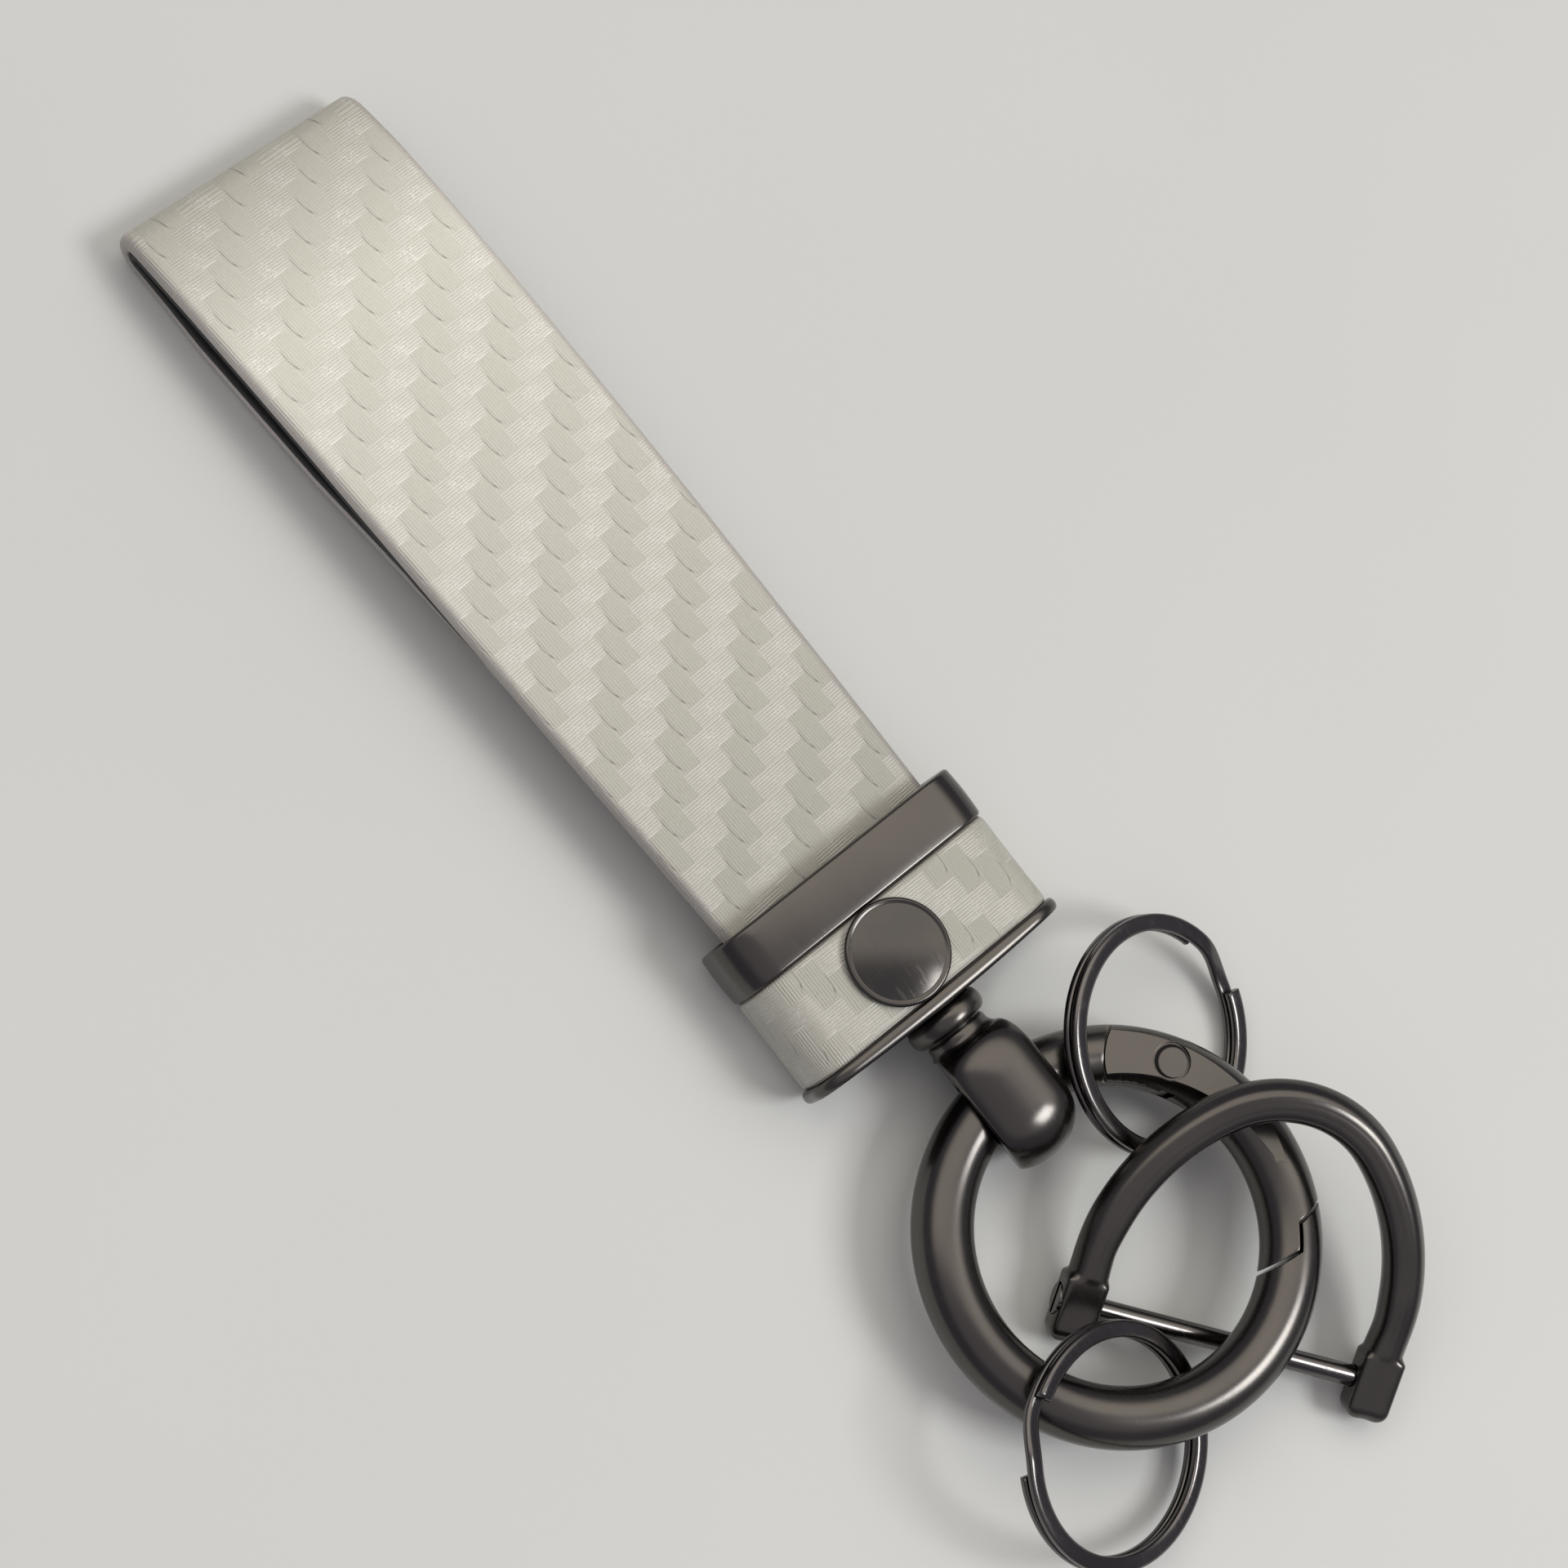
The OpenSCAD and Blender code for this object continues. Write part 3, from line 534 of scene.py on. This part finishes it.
def sleeve_ring(outline, y, crown=0.0):
    """An outline in X and Z, set at a place along Y, and lowered towards its sides by the crown."""
    x, z = outline[:, 0], outline[:, 1]
    height = z * (1 - crown / axis_z * (x / crown_reach) ** 2) + axis_z
    return np.stack((x, np.full(len(outline), y), height), 1)


skin = rounded_outline(fit_w - 2 * wrap_inset, fit_h - 2 * wrap_inset, fit_r - wrap_inset, 18, 0.27)
skin_way = np.roll(skin, -1, 0) - np.roll(skin, 1, 0)
skin_out = np.stack((skin_way[:, 1], -skin_way[:, 0]), 1)
skin_out /= np.linalg.norm(skin_out, axis=1)[:, None]
skin_at = np.concatenate(([0], np.cumsum(np.linalg.norm(np.diff(skin, axis=0), axis=1))))
hollow = rounded_outline(hollow_w, hollow_h, hollow_r, 18, 0.27)
hollow = np.array([hollow[int(round(i * (len(hollow) - 1) / (len(skin) - 1)))] for i in range(len(skin))])

wrap_steps = np.linspace(wrap_from + 0.03, wrap_to - 0.03, 34)
rings, cells, edges = [], [], []
for y in wrap_steps:
    edge = min(y - wrap_from, wrap_to - y)
    drop = wrap_soft * max(0.0, 1 - edge / 0.5) ** 2
    u = np.full(len(skin), (y + 1.0) / CELL_ALONG)
    v = skin_at / CELL_ACROSS
    relief = wrap_relief * (weave_height(u, v) - 1) * min(1.0, edge / 0.6)
    rings.append(sleeve_ring(skin + skin_out * (relief - drop)[:, None], y, fit_crown))
    cells.append(np.stack((u, v), 1))
    # Painted shade: the edge value darkens the wrap near its ends, where they tuck under the collar and the
    # plate
    edges.append(np.full(len(skin), max(0.0, 1 - edge / 0.35)))
for y in (wrap_steps[-1], wrap_steps[0]):
    rings.append(sleeve_ring(hollow, y))
    cells.append(np.stack((np.full(len(skin), y / CELL_ALONG), skin_at / CELL_ACROSS), 1))
    edges.append(np.ones(len(skin)))
wrap_mesh = lofted("leather_wrap", np.array(rings), loop=True, uv=np.array(cells), edge=np.array(edges))
add_piece(wrap_mesh, pearl_leather, "fitting", "wrap_band")

# %% [markdown]
# ## Dark plated metal
# The fitting, the swivel, the ring and the shackle are cast and plated in a dark gunmetal with a satin gloss.
# A fine grain in the plating softens the reflections, and the tone shifts slightly from brown to plum. One
# function makes the finish, and each kind of piece gets its own gloss and wear.

# %% Plated metal finish
def plated_metal(name, dark, light, rough, rough_spread, scuffs):
    material, tree, shader = new_finish(name)
    place = object_place(tree)
    clouds = speckle(tree, place, 90, 3)
    grain = speckle(tree, place, 9000, 2)
    stretched = put(tree, "ShaderNodeMapping", {0: place, 3: (900, 120, 500)}).outputs[0]
    hairlines = speckle(tree, stretched, 4.0, 3, 0.6)
    tone = blend_colours(tree, spread(tree, clouds, 0.35, 0.65), dark, light)
    tree.links.new(tone, shader.inputs["Base Color"])
    shader.inputs["Metallic"].default_value = 1.0
    scuffed = product(tree, spread(tree, hairlines, 0.55, 0.75), scuffs)
    gloss = spread(tree, clouds, 0.3, 0.7, rough - rough_spread, rough + rough_spread)
    tree.links.new(calc(tree, "ADD", gloss, scuffed), shader.inputs["Roughness"])
    height = calc(tree, "ADD", grain, product(tree, hairlines, 2 * scuffs))
    bump = put(tree, "ShaderNodeBump", {"Height": height, "Strength": 0.12, "Distance": 0.00001})
    tree.links.new(bump.outputs[0], shader.inputs["Normal"])
    return material


gunmetal_dark, gunmetal_light = (0.095, 0.089, 0.085, 1), (0.111, 0.105, 0.096, 1)
gunmetal = plated_metal("gunmetal", gunmetal_dark, gunmetal_light, 0.24, 0.03, 0.05)
dark_steel = plated_metal("dark_steel", (0.115, 0.109, 0.107, 1), (0.142, 0.135, 0.130, 1), 0.19, 0.04, 0.12)
polished = plated_metal("polished_steel", (0.075, 0.072, 0.070, 1), (0.098, 0.091, 0.083, 1), 0.16, 0.05, 0.15)
print("plated finishes:", gunmetal.name, dark_steel.name, polished.name)

# %% [markdown]
# ## Collar
# The collar is a cast ring that slides over the strap's ends and hides the mouth of the loop. Its edges are
# rounded, and the light catches them as thin bright lines. A bevel could round a plain band, but lofting it
# with the roundings built in also gives its face a slight crown.

# %% Collar
def eased_ends(first, last, soft, crown=0.0, steps=6, middle=7):
    """Pairs of (place along Y, inset) over a band with rounded edges and a slightly crowned face."""
    a = np.radians(np.linspace(0, 90, steps))
    start = [(first + soft * (1 - math.sin(x)), soft * (1 - math.cos(x))) for x in a[::-1]]
    face = [(y, 0.0) for y in np.linspace(first + soft, last - soft, middle)[1:-1]]
    end = [(last - soft * (1 - math.sin(x)), soft * (1 - math.cos(x))) for x in a]
    mid, half = (first + last) / 2, (last - first) / 2
    return [(y, g + crown * ((y - mid) / half) ** 2) for y, g in start + face + end]


def band_rings(w, h, r, first, last, soft, crown, hole_w, hole_h, hole_r, hole_soft):
    """Rings of a closed band with rounded edges round a rounded hole."""
    rings = [sleeve_ring(rounded_outline(w - 2 * g, h - 2 * g, r - g, 12, 1.2), y, fit_crown)
             for y, g in eased_ends(first, last, soft, crown)]
    size = len(rings[0])
    inner = []
    for y, g in reversed(eased_ends(first, last, hole_soft)):
        hole = rounded_outline(hole_w + 2 * g, hole_h + 2 * g, hole_r + g, 12, 1.2)
        pick = [int(round(i * (len(hole) - 1) / (size - 1))) for i in range(size)]
        inner.append(sleeve_ring(hole[pick], y))
    return np.array(rings + inner)


slot_w, slot_h, slot_r = 22.4, 4.8, 0.6
rings = band_rings(fit_w, fit_h, fit_r, -mouth_y, mouth_y, 0.32, 0.1, slot_w, slot_h, slot_r, 0.25)
add_piece(lofted("collar_band", rings, loop=True), gunmetal, "fitting", "collar")

# %% [markdown]
# ## Rivet
# A rivet holds the strap's two ends. Its cap is a shallow dome with a rolled rim, and its back is a flat disc
# sunk into the wrap. Both are turned shapes, so a profile is spun round the rivet's axis.

# %% Rivet
def spun(name, profile, centre, turns=96):
    """A closed mesh from (radius, height) points spun round an upright axis, in millimetres."""
    angles = np.linspace(0, 2 * math.pi, turns, endpoint=False)
    around = np.stack((np.cos(angles), np.sin(angles)), 1)
    rings = [np.concatenate((around * r, np.full((turns, 1), z)), 1) + centre for r, z in profile]
    return lofted(name, np.array(rings))


cap_r, cap_base, rim_r, post_r = 4.43, 9.45, 0.24, 1.6
rim_a = np.radians(np.linspace(-80, 115, 12))
profile = [(post_r, 0.55), (post_r, cap_base), (cap_r - 0.5, cap_base)]
profile += [(cap_r - rim_r + rim_r * math.cos(a), cap_base + rim_r + rim_r * math.sin(a)) for a in rim_a]
edge_r, edge_z = profile[-1]
dome_r, dome_h = edge_r - 0.1, 0.34
profile += [(dome_r * k, edge_z - 0.05 + dome_h * (1 - k * k)) for k in np.linspace(1, 0.004, 26)]
rivet_axis = (rivet_x, rivet_y, 0)
add_piece(spun("rivet_cap", profile, rivet_axis), polished, "fitting", "rivet_front")
profile = [(0.02, 0.5), (post_r, 0.5), (post_r, 0.88), (3.2, 0.88), (3.45, 0.8), (3.5, 0.6), (3.5, 0.32),
           (3.42, 0.24), (3.3, 0.21), (1.5, 0.21), (1.2, 0.26), (0.9, 0.4), (0.02, 0.42)]
add_piece(spun("rivet_foot", profile, rivet_axis), polished, "fitting", "rivet_back")

# %% [markdown]
# ## End plate
# The plate closes the fitting's end. It is a casting like a thin lens: its outer face swells towards the
# middle and its rim is round. Its tongue lies hidden between the strap's ends. Rings of its outline, each a
# step further in, make the rim and the swollen face. The hole for the swivel's shank is only in the CAD solid,
# because it doesn't show.

# %% End plate
plate_w, plate_top, plate_y, plate_t = 26.0, wrap_from, -12.55, 1.4
tongue_half_w, tongue_half_t, tongue_end_y = 7.5, 0.8, -3.25


def plate_point(outline, depth):
    """Points of the plate's outline, as deep as a share of its thickness there."""
    x, z = outline[:, 0], outline[:, 1]
    to_side, to_top = np.minimum(1, np.abs(x) / (plate_w / 2)), np.minimum(1, np.abs(z) / (fit_h / 2))
    thick = plate_t - 0.35 * to_side ** 2 - 0.12 * to_top ** 2
    height = z * (1 - fit_crown / axis_z * (x / crown_reach) ** 2) + axis_z
    return np.stack((x, plate_top - depth * thick, height), 1)


rim = 0.35
rings = []
for a in np.linspace(0, math.pi, 13):
    g = rim * (1 - math.sin(a))
    outline = rounded_outline(plate_w - 2 * g, fit_h - 2 * g, fit_r - g, 14, 0.5)
    rings.append(plate_point(outline, (1 - math.cos(a)) / 2))
face = rounded_outline(plate_w - 2 * rim, fit_h - 2 * rim, fit_r - rim, 14, 0.5)
rings += [plate_point(face * k, 1.0) for k in np.linspace(1, 0.01, 24)[1:]]
tongue = [(x * tongue_half_w, y, axis_z + z * tongue_half_t) for y in (plate_top, tongue_end_y)
          for x, z in ((-1, -1), (1, -1), (1, 1), (-1, 1))]
plate_mesh = lofted("end_plate_casting", np.array(rings))
shape = bmesh.new()
shape.from_mesh(plate_mesh)
corner = [shape.verts.new(Vector(p) * MM) for p in tongue]
sides = [shape.faces.new([corner[i] for i in side]) for side in
         ((0, 1, 2, 3), (7, 6, 5, 4), (0, 4, 5, 1), (1, 5, 6, 2), (2, 6, 7, 3), (3, 7, 4, 0))]
bmesh.ops.recalc_face_normals(shape, faces=sides)
shape.to_mesh(plate_mesh)
shape.free()
add_piece(plate_mesh, gunmetal, "fitting", "end_plate")

# %% [markdown]
# ## Swivel
# The swivel is turned and then filed: a bead against the plate, a narrow neck, and a barrel with two flats
# that lean in a little towards its underside. An eye runs through the barrel for the ring. The profile gives
# each ring's radius, the flats cut into it, and the eye is drilled at the end.

# %% Swivel
def carved(mesh, cutters):
    """The mesh with the cutters' shapes taken out of it."""
    items = [bpy.data.objects.new(each.name, each) for each in [mesh] + cutters]
    for item in items:
        bpy.context.scene.collection.objects.link(item)
    for tool in items[1:]:
        cut = items[0].modifiers.new("cut", "BOOLEAN")
        cut.operation, cut.solver, cut.object = "DIFFERENCE", "EXACT", tool
    bpy.context.view_layer.update()
    done = bpy.data.meshes.new_from_object(items[0].evaluated_get(bpy.context.evaluated_depsgraph_get()))
    for item in items:
        bpy.data.objects.remove(item)
    done.name = mesh.name + "_cut"
    done.shade_smooth()
    done.set_sharp_from_angle(angle=math.radians(38))
    return done


def rod(first, last, radius, turns):
    """The two end rings of a straight rod along X."""
    a = np.linspace(0, 2 * math.pi, turns, endpoint=False)
    return np.array([np.stack((np.full(turns, x), radius * np.cos(a), radius * np.sin(a)), 1)
                     for x in (first, last)])


# Each list holds (depth below the plate, radius) points
eye_y, eye_r, barrel_r, shank_r = -21.25, 3.2, 4.75, 1.45
flat_x, right_cut, flat_lean, flats_from = 2.8, 0.14, 0.28, 3.4
shank = [(-2.3, shank_r), (0.04, shank_r)]
bead = [(0.05 + 1.0 * (1 - math.cos(a)), 2.75 + 0.72 * math.sin(a) ** 0.8)
        for a in np.linspace(0.12, math.pi - 0.3, 14)]
neck = [(2.06, 2.62), (2.2, 2.55), (2.3, 2.66), (2.5, 2.74),
        (2.8, 2.76), (3.05, 2.8), (3.3, 2.98), (3.45, 3.18)]
shoulder = [(3.5 + 3.6 * (1 - math.cos(a)), 3.25 + 1.5 * math.sin(a))
            for a in np.linspace(0.05, math.pi / 2, 16)]
barrel = [(depth, barrel_r) for depth in np.linspace(7.3, 10.3, 10)]
dome = [(10.6 + 4.41 * math.sin(a), 0.35 + 4.4 * math.cos(a))
        for a in np.linspace(0, math.pi / 2 - 0.02, 30)]
profile = shank + bead + neck + shoulder + barrel + dome
around = np.linspace(0, 2 * math.pi, 240, endpoint=False)
c, s = np.cos(around), np.sin(around)
rings = []
for depth, radius in profile:
    full = min(1.0, max(0.0, (radius - 3.3) / 1.2)) if depth > 3.5 else 0.0
    power = 2 + 0.3 * full
    reach = (np.abs(c / (radius * (1 + 0.03 * full))) ** power + np.abs(s / radius) ** power) ** (-1 / power)
    if depth > flats_from:
        flats = np.where(c > 0, flat_x - right_cut, flat_x) / np.maximum(np.abs(c) - flat_lean * s, 0.02)
        reach = (reach ** -24 + flats ** -24) ** (-1 / 24)
    rings.append(np.stack((reach * c, np.full(len(c), plate_y - depth), axis_z + reach * s), 1))
swivel_mesh = lofted("swivel_casting", np.array(rings))
eye = rod(-9, 9, eye_r, 96) + (0, eye_y, axis_z)
swivel_mesh = carved(swivel_mesh, [lofted("eye_drill", eye)])
swivel_mesh.name = "swivel_barrel"
add_piece(swivel_mesh, gunmetal, "swivel", "swivel_head")

# %% [markdown]
# ## Ring and gate
# On such a fob the ring and its gate are usually cast in zinc and plated, and a steel pin joins them. They
# could be drawn again, but these CAD solids already have the real shape. They get the plated finish and a
# small rounding on every sharp edge, with modifiers that leave the CAD mesh as it is.

# %% Gate pin finish
def groove_shaded_metal(name, centre, radius, dark, light):
    """Plated metal darkened with painted shade near the rim of a round end, in the groove round it."""
    material = plated_metal(name, dark, light, 0.26, 0.03, 0.06)
    tree = material.node_tree
    shader = tree.nodes["Principled BSDF"]
    off = put(tree, "ShaderNodeVectorMath", {0: object_place(tree), 1: centre}, operation="SUBTRACT").outputs[0]
    flat = put(tree, "ShaderNodeVectorMath", {0: off, 1: (1, 1, 0)}, operation="MULTIPLY").outputs[0]
    away = put(tree, "ShaderNodeVectorMath", {0: flat}, operation="LENGTH").outputs["Value"]
    # Painted shade in the groove round the pin's end
    rim = spread(tree, away, radius - 0.22 * MM, radius - 0.12 * MM)
    tone = shader.inputs["Base Color"].links[0].from_socket
    tree.links.new(blend_colours(tree, rim, tone, (0.012, 0.011, 0.012, 1)), shader.inputs["Base Color"])
    return material


pin_low, pin_high = (Vector(corner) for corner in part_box("gate_pin"))
pin_r = (pin_high.x - pin_low.x) / 2
groove_shaded_pin_metal = groove_shaded_metal("gate_pin_metal", (pin_low + pin_high) / 2, pin_r, gunmetal_dark, gunmetal_light)
print("gate pin is", round(2 * pin_r / MM, 2), "mm wide")

# %% Soft edges on the CAD solids
def plate_node(name, finish, soft):
    """Gives a CAD node its finish and eased edges."""
    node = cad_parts[name]
    node.data.materials.clear()
    node.data.materials.append(finish)
    weld = node.modifiers.new("join_faces", "WELD")
    weld.merge_threshold = 0.000001
    if soft:
        bevel = node.modifiers.new("eased_edges", "BEVEL")
        bevel.width = soft * MM
        bevel.segments = 3
        bevel.limit_method = "ANGLE"
        bevel.angle_limit = math.radians(30)
    print(name, len(node.data.polygons), "faces, edges eased by", soft, "mm")
    return node


plate_node("swivel_washer", dark_steel, 0.08)
plate_node("ring_body", gunmetal, 0.2)
gate = plate_node("gate", gunmetal, 0.2)
swell = gate.modifiers.new("plating", "DISPLACE")
swell.strength, swell.mid_level = 0.035 * MM, 0.0
plate_node("gate_pin", groove_shaded_pin_metal, 0.12)
plate_node("gate_spring", dark_steel, 0)
plate_node("shackle_pin", dark_steel, 0.08)

# %% [markdown]
# ## Split rings
# A split ring is two turns of flattened wire, joined by a crossover where the wire steps from one turn to the
# other. The wire's edges are round. A curve object could carry the wire, but one formula for the centre line
# keeps the step exact, and the section is lofted along it.

# %% Split rings
ring_r, ring_rise = 14.6, math.radians(3.829)
split_r, split_wire_w, split_turn_t, split_gap = 9.3, 1.4, 0.76, 0.12
split_out, split_tilt, joggle_span, split_end_gap = 2.2, math.radians(28.88), 30.0, 4.0


def spin(axis, angle):
    """A turn about one axis."""
    return Matrix.Rotation(angle, 4, axis)


ring_frame = (Matrix.Translation((0, eye_y, axis_z)) @ spin("X", -ring_rise)
              @ Matrix.Translation((0, -ring_r, 0)))


def placed(points, matrix):
    """Points in millimetres, moved by a matrix."""
    m = np.array(matrix)
    return points @ m[:3, :3].T + m[:3, 3]


def split_ring_mesh(name, at, drop, tilt, joggle_at):
    """A split ring that hangs on the gate ring at an angle, dropped, tilted and turned on itself."""
    half_pitch, half_span = (split_turn_t + split_gap) / 2, joggle_span / 2
    last = 360 - half_span - split_end_gap
    w, t = split_wire_w / 2, split_turn_t / 2
    a = np.linspace(0, 2 * math.pi, 24, endpoint=False)
    power = 0.6
    section = np.stack((w * np.sign(np.cos(a)) * np.abs(np.cos(a)) ** power,
                        t * np.sign(np.sin(a)) * np.abs(np.sin(a)) ** power), 1)
    rings = []
    for angle in np.linspace(-last, last, 400):
        lift = half_pitch * math.sin(math.pi / 2 * max(-1, min(1, angle / half_span)))
        c, s = math.cos(math.radians(angle)), math.sin(math.radians(angle))
        rings.append(np.stack(((split_r + section[:, 0]) * c, (split_r + section[:, 0]) * s,
                               section[:, 1] + lift), 1))
    frame_at = (ring_frame @ spin("Z", math.radians(at)) @ Matrix.Translation((ring_r, 0, 0))
                @ spin("Y", math.radians(drop)) @ Matrix.Translation((split_out, 0, 0))
                @ spin("X", tilt) @ spin("Z", math.radians(joggle_at)))
    return lofted(name, placed(np.array(rings), frame_at))


wire_a = split_ring_mesh("split_ring_wire_a", 37.3, 0, split_tilt, -30)
wire_b = split_ring_mesh("split_ring_wire_b", 228, 8, -split_tilt, -94)
add_piece(wire_a, dark_steel, "split_a", "split_ring_a")
add_piece(wire_b, dark_steel, "split_b", "split_ring_b")

# %% [markdown]
# ## Shackle
# The shackle is a cast bow with two square feet, drilled for the screw pin. The bow's section has a ridge on
# its outer side and a softer inside, and it runs into the feet with a short slope. It is lofted along its
# three-centred arch, and the holes are cut afterwards.

# %% Shackle bow
leg_x, leg_h, bow_top_r = 13.15, 4.0, 10.0
side_r, side_angle, arch_h = 19.3528, math.radians(48.4555), 7.0
foot_outer, foot_inner, foot_half, foot_end, foot_round = 1.76, 1.95, 1.5, -3.2, 1.1
pin_z, bore_r, head_r, head_from = 2.9, 0.97, 1.37, -13.95
shackle_x, below_ring, shackle_turn, shackle_tilt = 2.544, 12.85, math.radians(-52.6), math.radians(24.306)
shackle_y = eye_y - ring_r * math.cos(ring_rise) - below_ring
shackle_frame = (Matrix.Translation((shackle_x, shackle_y, pin_z))
                 @ spin("Z", shackle_turn) @ spin("X", shackle_tilt))


def arc_points(mid, radius, first, last, count):
    """Points along an arc, from the first angle to the last."""
    a = np.linspace(first, last, count)
    return np.stack((mid[0] + radius * np.cos(a), mid[1] + radius * np.sin(a)), 1)


right_side = arc_points((leg_x - side_r, leg_h), side_r, 0, side_angle, 40)
top_arch = arc_points((0, leg_h + arch_h), bow_top_r, side_angle, math.pi - side_angle, 50)
left_side = arc_points((side_r - leg_x, leg_h), side_r, math.pi - side_angle, math.pi, 40)
round_steps = foot_end + foot_round * (1 - np.cos(np.linspace(0, math.pi / 2, 9)))
leg_steps = np.concatenate((round_steps, np.linspace(foot_end + foot_round + 0.1, leg_h, 42)))
right_leg = np.stack((np.full(len(leg_steps), leg_x), leg_steps), 1)
left_leg = np.stack((np.full(len(leg_steps), -leg_x), leg_steps[::-1]), 1)
bow_line = np.concatenate((right_leg[:-1], right_side, top_arch[1:-1], left_side, left_leg[1:]))
bow_way = np.gradient(bow_line, axis=0)
bow_way /= np.linalg.norm(bow_way, axis=1)[:, None]
bow_out = np.stack((bow_way[:, 1], -bow_way[:, 0]), 1)
bow_half_w = 1.75
bow_corners = bow_half_w * np.array([(1, 0.25), (0.55, 0.95), (-0.6, 1), (-0.92, 0.6), (-1, 0),
                                     (-0.92, -0.6), (-0.6, -1), (0.55, -0.95), (1, -0.25)])


def rounded_section(corners, soft, per_corner=6):
    """A closed outline with each corner rounded by a short curve."""
    points = []
    for i, corner in enumerate(corners):
        before, after = corners[i - 1], corners[(i + 1) % len(corners)]
        p = corner + (before - corner) * min(0.48, soft / np.linalg.norm(before - corner))
        q = corner + (after - corner) * min(0.48, soft / np.linalg.norm(after - corner))
        for t in np.linspace(0, 1, per_corner):
            points.append((1 - t) ** 2 * p + 2 * t * (1 - t) * corner + t * t * q)
    return np.array(points)


bow_round = rounded_section(bow_corners, 0.7)
spokes = np.linspace(-math.pi, math.pi, 120, endpoint=False)
order = np.argsort(np.arctan2(bow_round[:, 1], bow_round[:, 0]))
bow_reach = np.interp(spokes, np.arctan2(bow_round[order, 1], bow_round[order, 0]),
                      np.linalg.norm(bow_round[order], axis=1), period=2 * math.pi)
ray = np.stack((np.cos(spokes), np.sin(spokes)), 1)

# The foot's section is a rectangle with soft corners, met by the same spokes as the bow's
foot_side = np.where(ray[:, 0] > 0, foot_outer, foot_inner)
foot_reach = (np.abs(ray[:, 0] / foot_side) ** 6 + np.abs(ray[:, 1] / foot_half) ** 6) ** (-1 / 6)
foot_section = ray * foot_reach[:, None]


def ease(value, first, last):
    """A share that runs smoothly from 0 at first to 1 at last."""
    t = min(1.0, max(0.0, (value - first) / (last - first)))
    return t * t * (3 - 2 * t)


rings = []
for point, out in zip(bow_line, bow_out):
    up = point[1]
    slim = 0.9 + 0.1 * ease(up, 2.6, 8.0)
    section = ray * (bow_reach * slim)[:, None]
    flare = 0.3 * (1 - ease(up, 2.2, 5.6))
    section = section - np.where(ray[:, :1] < 0, flare, 0.0) * np.abs(ray[:, :1]) * (1.0, 0.0)
    foot = 1 - ease(up, 2.1, 2.75)
    section = section + (foot_section - section) * foot
    end = (up - foot_end) / foot_round
    if end < 1:
        section = section - ray * foot_round * (1 - math.sqrt(max(0.0, 1 - (1 - end) ** 2)))
    flat = point + section[:, :1] * out
    rings.append(np.concatenate((flat, section[:, 1:]), 1))
bow_blank = lofted("shackle_casting", np.array(rings))
bore = lofted("pin_drill", rod(-18, 18, bore_r, 64))
sink = lofted("head_drill", rod(-18, head_from, head_r, 64))
bow_mesh = carved(bow_blank, [bore, sink])
bow_mesh.name = "shackle_frame_bow"
bow_mesh.transform(Matrix.Scale(MM, 4) @ shackle_frame @ Matrix.Scale(1 / MM, 4))
add_piece(bow_mesh, gunmetal, "shackle", "shackle_bow")

# %% [markdown]
# ## Last update
# The scene is brought up to date at the end.

# %% Update
bpy.context.view_layer.update()
